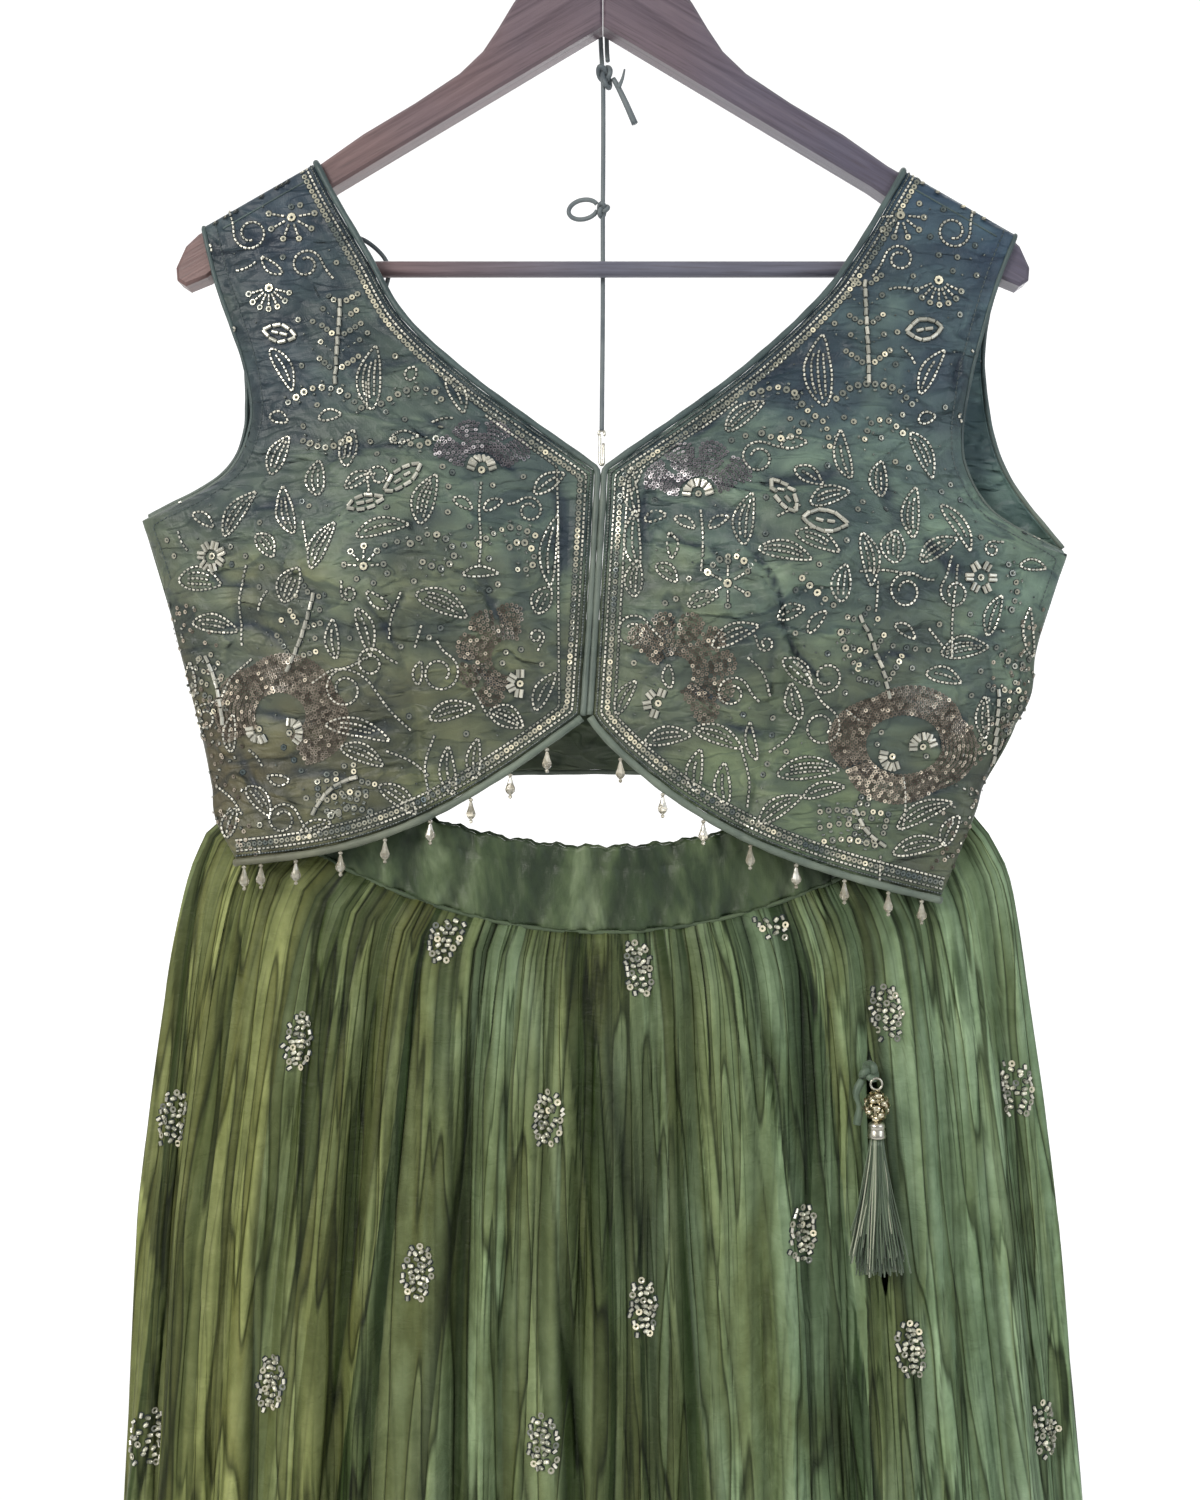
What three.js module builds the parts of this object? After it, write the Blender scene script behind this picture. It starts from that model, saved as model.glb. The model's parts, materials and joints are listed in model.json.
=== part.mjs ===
// A lehenga set on a wooden hanger: a sleeveless beaded choli with a V neck and a front opening, and a
// crushed, pleated skirt on a waistband, hung by two side loops from the hanger's trouser bar.
//
// Millimetres, +Z up. The origin is where the steel hook hangs: the inside of its top. The wearer would
// face -Y, so the wearer's left is +X. In the tables below "down" is the distance below the origin,
// "across" is the distance from the middle towards that side, and "depth" is towards the front or back.

import * as THREE from 'three';

// ---------- driving sizes ----------
const GAP = 0.3; // between neighbouring pieces
const CLOTH = 1.5; // wall of the choli panels
const SKIRT_CLOTH = 1.2; // wall of the skirt and its band
const SEAM_HALF = 0.75; // from the side plane to the middle of a panel's side edge

const HANGER_THICK = 16;
const HANGER_EASE = 1.5; // chamfer on the wood's edges
const HANGER_TOP = 62; // down to the top of the neck
const BAR = { down: 236.5, radius: 4.2, half: 186 };
const HOOK = { wire: 1.75, radius: 21, shankFoot: HANGER_TOP - 1 };

const EDGE_PIPING = 1.4; // radii of the rolled edges
const HEM_PIPING = 2.0;
const ARM_PIPING = 1.2;
const WAIST_PIPING = 1.1;

const CORD = 1.2; // radius of the rouleau cord

// ---------- colours ----------
const colours = {
  choli: 0x4f6159,
  piping: 0x7f9482,
  skirt: 0x6f8463,
  band: 0x3f5845,
  wood: 0x7d5046,
  steel: 0xb9bcc0,
  cord: 0x5c6b78,
  bead: 0xd8d6c8,
  silk: 0x5d7a5c,
};

const material = (colour, roughness, metalness = 0) =>
  new THREE.MeshStandardMaterial({ color: colour, roughness, metalness });

const materials = {
  choli: material(colours.choli, 0.55),
  piping: material(colours.piping, 0.5),
  skirt: material(colours.skirt, 0.6),
  band: material(colours.band, 0.4),
  wood: material(colours.wood, 0.45),
  steel: material(colours.steel, 0.25, 1),
  cord: material(colours.cord, 0.7),
  bead: material(colours.bead, 0.15),
  silk: material(colours.silk, 0.35),
};

const part = new THREE.Group();

function add(name, geometry, look) {
  const mesh = new THREE.Mesh(geometry, materials[look]);
  mesh.name = name;
  part.add(mesh);
  return mesh;
}

// ---------- helpers ----------
const at = (x, down, y) => new THREE.Vector3(x, y, -down);
const mix = (a, b, t) => a + (b - a) * t;
const clamp01 = (t) => Math.min(1, Math.max(0, t));
const ramp = (a, b, t) => {
  const s = clamp01((t - a) / (b - a));
  return s * s * (3 - 2 * s);
};

// A column of a table at a fractional row, as a smooth curve that keeps a corner at each sharp row.
function along(table, column, position, sharp = []) {
  const last = table.length - 1;
  const i = Math.min(last - 1, Math.max(0, Math.floor(position)));
  const t = position - i;
  const value = (k) => table[Math.min(last, Math.max(0, k))][column];
  const corner = (k) => k <= 0 || k >= last || sharp.includes(table[k].row);
  const slope = (k) => (corner(k) ? value(i + 1) - value(i) : (value(k + 1) - value(k - 1)) / 2);
  const m0 = slope(i);
  const m1 = slope(i + 1);
  const t2 = t * t;
  const t3 = t2 * t;
  const fromValues = (2 * t3 - 3 * t2 + 1) * value(i) + (3 * t2 - 2 * t3) * value(i + 1);
  const fromSlopes = (t3 - 2 * t2 + t) * m0 + (t3 - t2) * m1;
  return fromValues + fromSlopes;
}

// A table with named columns: its first line names them, and every row's first entry is its name.
function table(names, rows) {
  const columns = names.split(' ');
  return rows.map((row) => Object.fromEntries(columns.map((column, i) => [column, row[i]])));
}

const rowIndex = (rows, name) => rows.findIndex((entry) => entry.row === name);

// The unit normal of a grid of points at each of its points.
function normalsOf(grid) {
  const rows = grid.length;
  const columns = grid[0].length;
  return grid.map((line, r) =>
    line.map((_, c) => {
      const du = grid[r][Math.min(columns - 1, c + 1)].clone().sub(grid[r][Math.max(0, c - 1)]);
      const dv = grid[Math.min(rows - 1, r + 1)][c].clone().sub(grid[Math.max(0, r - 1)][c]);
      return du.cross(dv).normalize();
    }),
  );
}

// A closed wall of cloth from a grid of points in its middle surface.
function wall(grid, thickness, normals = normalsOf(grid)) {
  const rows = grid.length;
  const columns = grid[0].length;
  const front = [];
  const back = [];
  grid.forEach((line, r) => {
    line.forEach((point, c) => {
      const out = normals[r][c].clone().multiplyScalar(thickness / 2);
      front.push(point.clone().add(out));
      back.push(point.clone().sub(out));
    });
  });
  const index = [];
  const quad = (a, b, c, d) => index.push(a, b, c, a, c, d);
  const count = rows * columns;
  const k = (r, c) => r * columns + c;
  for (let r = 0; r < rows - 1; r += 1) {
    for (let c = 0; c < columns - 1; c += 1) {
      quad(k(r, c), k(r, c + 1), k(r + 1, c + 1), k(r + 1, c));
      quad(count + k(r, c), count + k(r + 1, c), count + k(r + 1, c + 1), count + k(r, c + 1));
    }
  }
  for (let c = 0; c < columns - 1; c += 1) {
    quad(k(0, c), count + k(0, c), count + k(0, c + 1), k(0, c + 1));
    quad(k(rows - 1, c), k(rows - 1, c + 1), count + k(rows - 1, c + 1), count + k(rows - 1, c));
  }
  const end = columns - 1;
  for (let r = 0; r < rows - 1; r += 1) {
    quad(k(r, 0), k(r + 1, 0), count + k(r + 1, 0), count + k(r, 0));
    quad(k(r, end), count + k(r, end), count + k(r + 1, end), k(r + 1, end));
  }
  return closed([...front, ...back], index);
}

// A wall from a grid with one spare column at each side, so that its edges face as their neighbours' do.
function trimmedWall(wide, thickness) {
  const trim = (lines) => lines.map((line) => line.slice(1, -1));
  return wall(trim(wide), thickness, trim(normalsOf(wide)));
}

// An indexed solid, turned so that its faces point out.
function closed(points, index) {
  let volume = 0;
  for (let i = 0; i < index.length; i += 3) {
    const [a, b, c] = [points[index[i]], points[index[i + 1]], points[index[i + 2]]];
    volume += a.dot(b.clone().cross(c));
  }
  if (volume < 0) {
    index.reverse();
  }
  const geometry = new THREE.BufferGeometry();
  const numbers = points.flatMap((p) => [p.x, p.y, p.z]);
  geometry.setAttribute('position', new THREE.Float32BufferAttribute(numbers, 3));
  geometry.setIndex(index);
  geometry.computeVertexNormals();
  return geometry;
}

// A round cord or rolled edge along points.
function tube(points, radius, step, sides = 8) {
  const path = new THREE.CatmullRomCurve3(points, false, 'centripetal');
  const section = new THREE.Shape();
  for (let i = 0; i < sides; i += 1) {
    const angle = (2 * Math.PI * i) / sides;
    const [x, y] = [radius * Math.cos(angle), radius * Math.sin(angle)];
    if (i === 0) {
      section.moveTo(x, y);
    } else {
      section.lineTo(x, y);
    }
  }
  const steps = Math.max(2, Math.round(path.getLength() / step));
  const options = { steps, extrudePath: path, bevelEnabled: false, curveSegments: 1 };
  return new THREE.ExtrudeGeometry(section, options);
}

// The direction of a line of points at one of them.
function tangentOf(line, i) {
  return line[Math.min(line.length - 1, i + 1)].clone().sub(line[Math.max(0, i - 1)]).normalize();
}

// A rolled edge with a ring of points at each point of its middle line.
function roll(line, radius, sides = 6) {
  const points = [];
  let across = new THREE.Vector3(0, 1, 0);
  line.forEach((point, i) => {
    const tangent = tangentOf(line, i);
    across.sub(tangent.clone().multiplyScalar(across.dot(tangent)));
    if (across.length() < 0.2) {
      across = new THREE.Vector3(1, 0, 0).sub(tangent.clone().multiplyScalar(tangent.x));
    }
    across.normalize();
    const up = tangent.clone().cross(across);
    for (let k = 0; k < sides; k += 1) {
      const angle = (2 * Math.PI * k) / sides;
      const offset = across.clone().multiplyScalar(radius * Math.cos(angle));
      offset.add(up.clone().multiplyScalar(radius * Math.sin(angle)));
      points.push(point.clone().add(offset));
    }
    across = across.clone();
  });
  return rings(points, line.length, sides);
}

// A closed solid over rings of points with the same number of sides.
function rings(points, count, sides) {
  const index = [];
  for (let s = 0; s < count - 1; s += 1) {
    for (let i = 0; i < sides; i += 1) {
      const [a, b] = [s * sides + i, s * sides + ((i + 1) % sides)];
      index.push(a, b, b + sides, a, b + sides, a + sides);
    }
  }
  const foot = (count - 1) * sides;
  for (let i = 1; i < sides - 1; i += 1) {
    index.push(0, i + 1, i);
    index.push(foot, foot + i, foot + i + 1);
  }
  return closed(points, index);
}

// The middle line of piping along a choli panel's edge: the edge's points, moved out in the panel's own
// surface, and lifted so that the piping is flush with the panel's inner side. "cells" lists the edge as
// [row, column, row and column of the point behind it]; "outward" is the sign of the grid's normal.
function beside(grid, cells, radius, outward) {
  const normals = normalsOf(grid);
  const edge = cells.map(([r, c]) => grid[r][c]);
  return cells.map(([r, c, innerRow, innerColumn], i) => {
    const tangent = tangentOf(edge, i);
    const out = edge[i].clone().sub(grid[innerRow][innerColumn]);
    out.sub(tangent.clone().multiplyScalar(out.dot(tangent))).normalize();
    const lift = normals[r][c].clone().multiplyScalar(outward * (radius - CLOTH / 2));
    return edge[i].clone().add(out.multiplyScalar(radius + GAP)).add(lift);
  });
}

// The cells of a grid's edge: one column, or one row, with the points behind them in the next one.
function columnCells(column, behind, from, to) {
  return Array.from({ length: to - from + 1 }, (_, i) => [from + i, column, from + i, behind]);
}

function rowCells(row, behind, count) {
  return Array.from({ length: count }, (_, c) => [row, c, behind, c]);
}

function lathe(profile, sides, centre) {
  const points = profile.map(([radius, down]) => new THREE.Vector2(radius, -down)).reverse();
  const geometry = new THREE.LatheGeometry(points, sides);
  geometry.rotateX(Math.PI / 2);
  geometry.translate(centre.x, centre.y, centre.z);
  return geometry;
}

// ---------- hanger ----------
// Outline of one arm, from the joint in the middle: the neck, the shoulder line, the tip and the underside.
const armTop = [
  { across: 0, down: 62 },
  { across: 11, down: 62.5 },
  { across: 19, down: 66 },
  { across: 28, down: 76 },
  { across: 38, down: 89 },
  { across: 46.5, down: 101 },
  { across: 54, down: 113.5 },
  { across: 62, down: 125.5 },
  { across: 74, down: 137 },
  { across: 97, down: 152.3 },
  { across: 124, down: 168.5 },
];
const shoulderLine = { across0: 147.3, down0: 184.9, across1: 209, down1: 220.3 };
const armTip = [
  { across: 215.5, down: 226.5 },
  { across: 220.5, down: 237.5 },
  { across: 220, down: 244 },
  { across: 215.5, down: 247 },
  { across: 204.5, down: 242.5 },
];
const armUnder = [
  { across: 190, down: 231.5 },
  { across: 166, down: 214.5 },
  { across: 138, down: 195 },
  { across: 0, down: 112.5 },
];

function hangerArm(side) {
  const outline = [
    ...armTop,
    { across: shoulderLine.across0, down: shoulderLine.down0 },
    { across: shoulderLine.across1, down: shoulderLine.down1 },
    ...armTip,
    ...armUnder,
  ];
  const shape = new THREE.Shape();
  outline.forEach(({ across, down }, i) => {
    const x = side * Math.max(across, GAP / 2);
    if (i === 0) {
      shape.moveTo(x, -down);
    } else {
      shape.lineTo(x, -down);
    }
  });
  const geometry = new THREE.ExtrudeGeometry(shape, {
    depth: HANGER_THICK - 2 * HANGER_EASE,
    bevelEnabled: true,
    bevelThickness: HANGER_EASE,
    bevelSize: HANGER_EASE,
    bevelOffset: -HANGER_EASE,
    bevelSegments: 1,
  });
  geometry.translate(0, 0, -HANGER_THICK / 2 + HANGER_EASE);
  geometry.rotateX(Math.PI / 2);
  return geometry;
}

function hangerBar() {
  const geometry = new THREE.CylinderGeometry(BAR.radius, BAR.radius, 2 * BAR.half, 16);
  geometry.rotateZ(Math.PI / 2);
  geometry.translate(0, 0, -BAR.down);
  return geometry;
}

function hangerHook() {
  const middle = HOOK.radius - HOOK.wire; // down to the centre of the round
  const points = [at(0, HOOK.shankFoot, 0), at(0, 54, 0), at(1.5, 49, 0), at(8, 43.5, 0)];
  for (let angle = -40; angle <= 200; angle += 20) {
    const a = THREE.MathUtils.degToRad(angle);
    points.push(at(HOOK.radius * Math.cos(a), middle - HOOK.radius * Math.sin(a), 0));
  }
  return tube(points, HOOK.wire, 7, 8);
}

// ---------- choli ----------
// Each front is a grid from its inner edge (neck, then centre front) to its outer edge (armhole, side
// seam, then the short side vent), in rows from the shoulder seam to the hem.
//   inAcross, inDown     the inner edge
//   outAcross, outDown   the outer edge
//   inDepth, outDepth    how far the cloth lies in front of the side plane at each edge
//   belly                how much further its middle stands
//   sag                  how much lower its middle hangs
const front = {
  right: {
    sign: -1,
    bustAcross: 104,
    bustDown: 396,
    sagSkew: 1,
    drops: [0.1, 0.206, 0.319, 0.44, 0.565, 0.693, 0.823, 0.925, 0.975],
    rows: table(
      'row inAcross inDown outAcross outDown inDepth outDepth belly sag',
      [
        ['seam', 149.5, 184.7, 205, 216.5, 0, 0, 0, 0],
        ['top', 149.5, 184.7, 205, 216.5, 6.5, 6.5, 0, 0],
        ['fold', 148.5, 186.7, 204.5, 218.6, 9.2, 9.2, 0, 0],
        ['yoke', 140, 203, 198.5, 243, 10.5, 10, 1, 0],
        ['upper', 122, 234, 190.5, 266, 13, 11, 2, 0],
        ['chest', 103, 266.5, 182.5, 291, 16, 10.5, 4, 0],
        ['cup', 66, 300.5, 180, 316, 19, 9.5, 5, 0],
        ['notch', 4.5, 345, 189, 339, 21, 6.5, 6, 0],
        ['scye', 4.8, 351, 206.5, 353, 21, 4, 6.5, 0],
        ['underarm', 5.2, 358, 239, 368, 21, SEAM_HALF, 7, 0],
        ['bust', 6.2, 377, 229, 397, 21, SEAM_HALF, 8, 0],
        ['underbust', 7.6, 402, 221.5, 427, 20, SEAM_HALF, 8, 2],
        ['rib', 8.9, 424, 213.5, 458, 19, SEAM_HALF, 7, 5],
        ['waist', 10.2, 443, 207, 484, 19, SEAM_HALF, 6, 9],
        ['ventTop', 11, 456, 202.5, 507, 19.5, SEAM_HALF, 5, 13],
        ['vent', 11.4, 462, 199, 522, 20, 10, 4, 15],
        ['hem', 12, 469, 187, 542.3, 20.5, 17, 4, 17.5],
      ],
    ),
  },
  left: {
    sign: 1,
    bustAcross: 92,
    bustDown: 400,
    sagSkew: 0.75,
    drops: [0.086, 0.206, 0.321, 0.456, 0.584, 0.722, 0.848, 0.945],
    rows: table(
      'row inAcross inDown outAcross outDown inDepth outDepth belly sag',
      [
        ['seam', 156.5, 188.6, 212, 220.5, 0, 0, 0, 0],
        ['top', 156.5, 188.6, 212, 220.5, 6.5, 6.5, 0, 0],
        ['fold', 156, 190.6, 211.2, 222.6, 9.2, 9.2, 0, 0],
        ['yoke', 147.5, 205, 202.5, 244, 10.5, 10, 1, 0],
        ['upper', 130.5, 233, 194.3, 270, 13, 11, 2, 0],
        ['chest', 110, 260, 187.5, 297, 16, 10.5, 4, 0],
        ['cup', 67, 299, 183.8, 325, 19, 9.5, 5, 0],
        ['notch', 2.5, 345, 188, 345, 21, 6.5, 6, 0],
        ['scye', 2.2, 352, 204, 366, 21, 4, 6.5, 0],
        ['underarm', 1.8, 361, 241, 385.5, 21, SEAM_HALF, 7, 0],
        ['bust', 0.6, 381, 231.5, 412, 21, SEAM_HALF, 8, 0],
        ['underbust', -0.8, 405, 224.5, 437, 20, SEAM_HALF, 8, 2],
        ['rib', -2.1, 426, 221.5, 460, 19, SEAM_HALF, 7, 6],
        ['waist', -3.2, 443, 205.5, 487, 19, SEAM_HALF, 6, 10],
        ['ventTop', -4, 456, 196.5, 507, 19.5, SEAM_HALF, 5, 15],
        ['vent', -4.4, 462, 190.5, 521, 20, 10, 4, 17],
        ['hem', -5, 469, 172, 561.5, 20.5, 18.5, 4, 20],
      ],
    ),
  },
};
const FRONT_COLUMNS = [0, 0.1, 0.2, 0.3, 0.39, 0.43, 0.47, 0.56, 0.67, 0.78, 0.88, 0.95, 1];
const IN_CORNERS = ['seam', 'top', 'fold', 'notch'];
const OUT_CORNERS = ['seam', 'top', 'fold', 'underarm', 'ventTop'];
const CUP = { height: 21, across: 60, down: 56 };
const DART = { at: 0.43, width: 0.028, depth: 2.2, from: 9.6, to: 11.6 };
const SIDE_ROUND = 4; // how squarely the choli's section turns at its sides
const DROP_SLACK = 0.25; // the drop's round top beside the sloping piping
// Radius and distance below the hem piping: a seed bead, the faceted drop and a stop bead.
const DROP_PROFILE = [
  [0, 0],
  [1.1, 0.6],
  [0.7, 2],
  [2.6, 7.5],
  [1.9, 10],
  [0.8, 11],
  [1.1, 12],
  [0, 13],
];

const sideRound = (u) => Math.sqrt(Math.max(0, 1 - u ** SIDE_ROUND));

function frontPoint(panel, position, u) {
  const { rows } = panel;
  const inner = (column) => along(rows, column, position, IN_CORNERS);
  const outer = (column) => along(rows, column, position, OUT_CORNERS);
  const sag = inner('sag') * Math.sin(Math.PI * u ** panel.sagSkew);
  const across = mix(inner('inAcross'), outer('outAcross'), u);
  const down = mix(inner('inDown'), outer('outDown'), u) + sag;
  const bustX = (across - panel.bustAcross) / CUP.across;
  const bustZ = (down - panel.bustDown) / CUP.down;
  const cup = Math.exp(-(bustX ** 2) - bustZ ** 2);
  const dart = Math.exp(-(((u - DART.at) / DART.width) ** 2)) * ramp(DART.from, DART.to, position);
  const inDepth = inner('inDepth');
  const outDepth = outer('outDepth');
  const free = ramp(2, 7, position); // the arm of the hanger shapes the cloth above this
  const depth =
    outDepth + (inDepth - outDepth) * sideRound(u) + inner('belly') * Math.sin(Math.PI * u) +
    free * CUP.height * cup * Math.min(1, sideRound(u) * 1.4) - DART.depth * dart;
  return at(panel.sign * across, down, -depth);
}

function frontGrid(panel) {
  return panel.rows.map((_, r) =>
    FRONT_COLUMNS.map((u) => {
      const point = frontPoint(panel, r, u);
      if (r === 0) {
        point.y = -GAP / 2;
      }
      return point;
    }),
  );
}

function choliFront(name, panel) {
  const grid = frontGrid(panel);
  const lastRow = grid.length - 1;
  const lastColumn = grid[0].length - 1;
  add(`choli_front_${name}`, wall(grid, CLOTH), 'choli');

  const outward = -panel.sign;
  const inner = beside(grid, columnCells(0, 1, 0, lastRow), EDGE_PIPING, outward);
  add(`choli_front_${name}_edge_piping`, roll(inner, EDGE_PIPING), 'piping');

  const underarm = rowIndex(panel.rows, 'underarm');
  const arm = beside(grid, columnCells(lastColumn, lastColumn - 1, 0, underarm - 1), ARM_PIPING, outward);
  add(`choli_front_${name}_armhole_piping`, roll(arm, ARM_PIPING), 'piping');

  const hem = beside(grid, rowCells(lastRow, lastRow - 1, lastColumn + 1), HEM_PIPING, outward);
  add(`choli_front_${name}_hem_piping`, roll(hem, HEM_PIPING), 'piping');

  panel.drops.forEach((u, i) => {
    const c = FRONT_COLUMNS.findIndex((column) => column > u) - 1;
    const t = (u - FRONT_COLUMNS[c]) / (FRONT_COLUMNS[c + 1] - FRONT_COLUMNS[c]);
    const centre = hem[c].clone().lerp(hem[c + 1], t);
    const slope = hem[c + 1].clone().sub(hem[c]).normalize();
    centre.z -= HEM_PIPING / Math.hypot(slope.x, slope.y) + GAP + DROP_SLACK;
    add(`crystal_drop_${name}_${i + 1}`, lathe(DROP_PROFILE, 8, centre), 'bead');
  });
}

// The back is one panel around a deep round neck. Its stations run from a shoulder seam to the centre
// back, each from the neck edge (in) to the armhole, side seam or hem (out).
const back = {
  right: table(
    'row inAcross inDown outAcross outDown inDepth outDepth',
    [
      ['seam', 149.5, 184.7, 205, 216.5, 0, 0],
      ['top', 149.5, 184.7, 205, 216.5, 6.5, 6.5],
      ['fold', 148.5, 186.7, 204.5, 218.6, 9.2, 9.2],
      ['yoke', 139, 214, 198, 246, 10, 10],
      ['upper', 121, 262, 186.5, 284, 12, 10],
      ['chest', 111, 305, 192, 336, 14, 6],
      ['underarm', 104, 340, 239, 368, 15, SEAM_HALF],
      ['bust', 95, 370, 223.5, 420, 16, SEAM_HALF],
      ['waist', 82, 392, 210.3, 470, 17, SEAM_HALF],
      ['corner', 66, 405, 202.5, 507, 17, SEAM_HALF],
      ['hemSide', 52, 412, 180, 506, 17, 11],
      ['hem', 36, 417, 120, 502, 17, 16],
      ['hemInner', 18, 419.5, 60, 498, 17, 17],
      ['centre', 0, 420, 0, 497, 17, 17],
    ],
  ),
  left: table(
    'row inAcross inDown outAcross outDown inDepth outDepth',
    [
      ['seam', 156.5, 188.6, 212, 220.5, 0, 0],
      ['top', 156.5, 188.6, 212, 220.5, 6.5, 6.5],
      ['fold', 156, 190.6, 211.2, 222.6, 9.2, 9.2],
      ['yoke', 148, 216, 203, 250, 10, 10],
      ['upper', 128, 262, 199, 290, 12, 10],
      ['chest', 114, 305, 209, 340, 14, 6],
      ['underarm', 104, 340, 241, 385.5, 15, SEAM_HALF],
      ['bust', 95, 370, 224, 438, 16, SEAM_HALF],
      ['waist', 82, 392, 214, 475, 17, SEAM_HALF],
      ['corner', 66, 405, 196.5, 507, 17, SEAM_HALF],
      ['hemSide', 52, 412, 176, 506, 17, 11],
      ['hem', 36, 417, 120, 502, 17, 16],
      ['hemInner', 18, 419.5, 60, 498, 17, 17],
      ['centre', 0, 420, 0, 497, 17, 17],
    ],
  ),
};
const BACK_COLUMNS = [0, 0.17, 0.34, 0.5, 0.65, 0.79, 0.91, 1];

function backStation(stations, r, sign) {
  const s = stations[r];
  return BACK_COLUMNS.map((u) => {
    const depth = s.outDepth + (s.inDepth - s.outDepth) * sideRound(u);
    const across = mix(s.inAcross, s.outAcross, u);
    return at(sign * across, mix(s.inDown, s.outDown, u), r === 0 ? GAP / 2 : depth);
  });
}

function choliBack() {
  const half = back.right.length;
  const grid = [];
  for (let r = 0; r < half; r += 1) {
    grid.push(backStation(back.right, r, -1));
  }
  for (let r = half - 2; r >= 0; r -= 1) {
    grid.push(backStation(back.left, r, 1));
  }
  add('choli_back', wall(grid, CLOTH), 'choli');

  const last = BACK_COLUMNS.length - 1;
  const total = grid.length - 1;
  const outward = -1;
  const neck = beside(grid, columnCells(0, 1, 0, total), EDGE_PIPING, outward);
  add('choli_back_neck_piping', roll(neck, EDGE_PIPING), 'piping');

  const underarm = rowIndex(back.right, 'underarm');
  const rightArm = beside(grid, columnCells(last, last - 1, 0, underarm - 1), ARM_PIPING, outward);
  add('choli_back_right_armhole_piping', roll(rightArm, ARM_PIPING), 'piping');
  const leftCells = columnCells(last, last - 1, total - underarm + 1, total);
  const leftArm = beside(grid, leftCells, ARM_PIPING, outward);
  add('choli_back_left_armhole_piping', roll(leftArm, ARM_PIPING), 'piping');

  const corner = rowIndex(back.right, 'corner');
  const hemCells = columnCells(last, last - 1, corner + 1, total - corner - 1);
  const hem = beside(grid, hemCells, EDGE_PIPING, outward);
  add('choli_back_hem_piping', roll(hem, EDGE_PIPING), 'piping');
}

// ---------- skirt ----------
// The skirt is a flattened tube. Turn 0 is the centre front, 90 the wearer's left side, 180 the back.
const SIDE_SEAM = { right: -90, left: 51 }; // the left seam, with its slit, lies towards the front
const WAIST = { half: 188, depth: 12, topDown: 537, rise: 66, height: 42 };
const SKIRT_TOP = WAIST.height + 2 * WAIST_PIPING + 3 * GAP; // below the band's top edge
const SKIRT_LENGTH = 968;
const SKIRT_ROWS = table(
  'row fall right left depth fold',
  [
    ['gather', 0, 188, 188, 12, 0.8],
    ['spring', 0.012, 204, 199, 12.5, 1.4],
    ['hip', 0.034, 213, 211, 14, 2.2],
    ['lowHip', 0.062, 218.5, 215.5, 16, 2.9],
    ['slitTop', 0.086, 222.5, 218.3, 17.8, 3.4],
    ['slitOpen', 0.104, 224.5, 220.3, 19, 3.7],
    ['slitMiddle', 0.15, 230, 225, 22, 4.4],
    ['slitEnd', 0.215, 237.5, 231, 26.5, 5.1],
    ['thigh', 0.33, 243.5, 240, 33, 6],
    ['knee', 0.5, 255, 254, 41, 7],
    ['calf', 0.72, 273, 272, 49, 8],
    ['hem', 1, 294, 294, 57, 9],
  ],
);
const SLIT = { top: 0.086, end: 0.215, half: 4.6, rounding: 0.6 };
const SECTION = { square: 0.985, flat: 0.35 }; // how evenly the folds spread, and how flat the faces are
const PLEATS = { main: 31, second: 53, drift: 2.2, mainShare: 0.62 };

function sectionAcross(turn) {
  return Math.asin(SECTION.square * Math.sin(turn)) / Math.asin(SECTION.square);
}

function sectionDepth(turn) {
  const c = Math.cos(turn);
  return (c / Math.hypot(c, SECTION.flat)) * Math.hypot(1, SECTION.flat);
}

// Uneven pleats: two waves of different count that drift into each other down the skirt.
function pleat(turn, fall) {
  const drift = PLEATS.drift * Math.sin(2 * turn + 3 * fall);
  const main = Math.sin(PLEATS.main * turn + drift);
  const second = Math.sin(PLEATS.second * turn + 5 * fall + 1.3);
  return PLEATS.mainShare * main + (1 - PLEATS.mainShare) * second;
}

function skirtPoint(turn, fall, row) {
  const across = sectionAcross(turn);
  const half = across < 0 ? row.right : row.left;
  const rise = WAIST.rise * across * across;
  const down = WAIST.topDown - rise + SKIRT_TOP + fall * SKIRT_LENGTH;
  const step = 0.01;
  const alongX = half * (sectionAcross(turn + step) - sectionAcross(turn - step));
  const alongY = -row.depth * (sectionDepth(turn + step) - sectionDepth(turn - step));
  const fold = (row.fold * pleat(turn, fall)) / Math.hypot(alongX, alongY);
  return at(half * across + fold * alongY, down, -row.depth * sectionDepth(turn) - fold * alongX);
}

// How many millimetres the section moves for each radian of turn.
function speed(turn, row) {
  const step = 0.005;
  const ends = [turn - step, turn + step];
  const half = turn < 0 || turn > Math.PI ? row.right : row.left;
  const [x0, x1] = ends.map((angle) => half * sectionAcross(angle));
  const [y0, y1] = ends.map((angle) => row.depth * sectionDepth(angle));
  return Math.hypot(x1 - x0, y1 - y0) / (2 * step);
}

// Half of the opening between the two panels at the left seam, where the slit is.
function slitHalf(fall) {
  const t = clamp01((fall - SLIT.top) / (SLIT.end - SLIT.top));
  return GAP / 2 + SLIT.half * Math.max(0, Math.sin(Math.PI * t)) ** SLIT.rounding;
}

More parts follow.
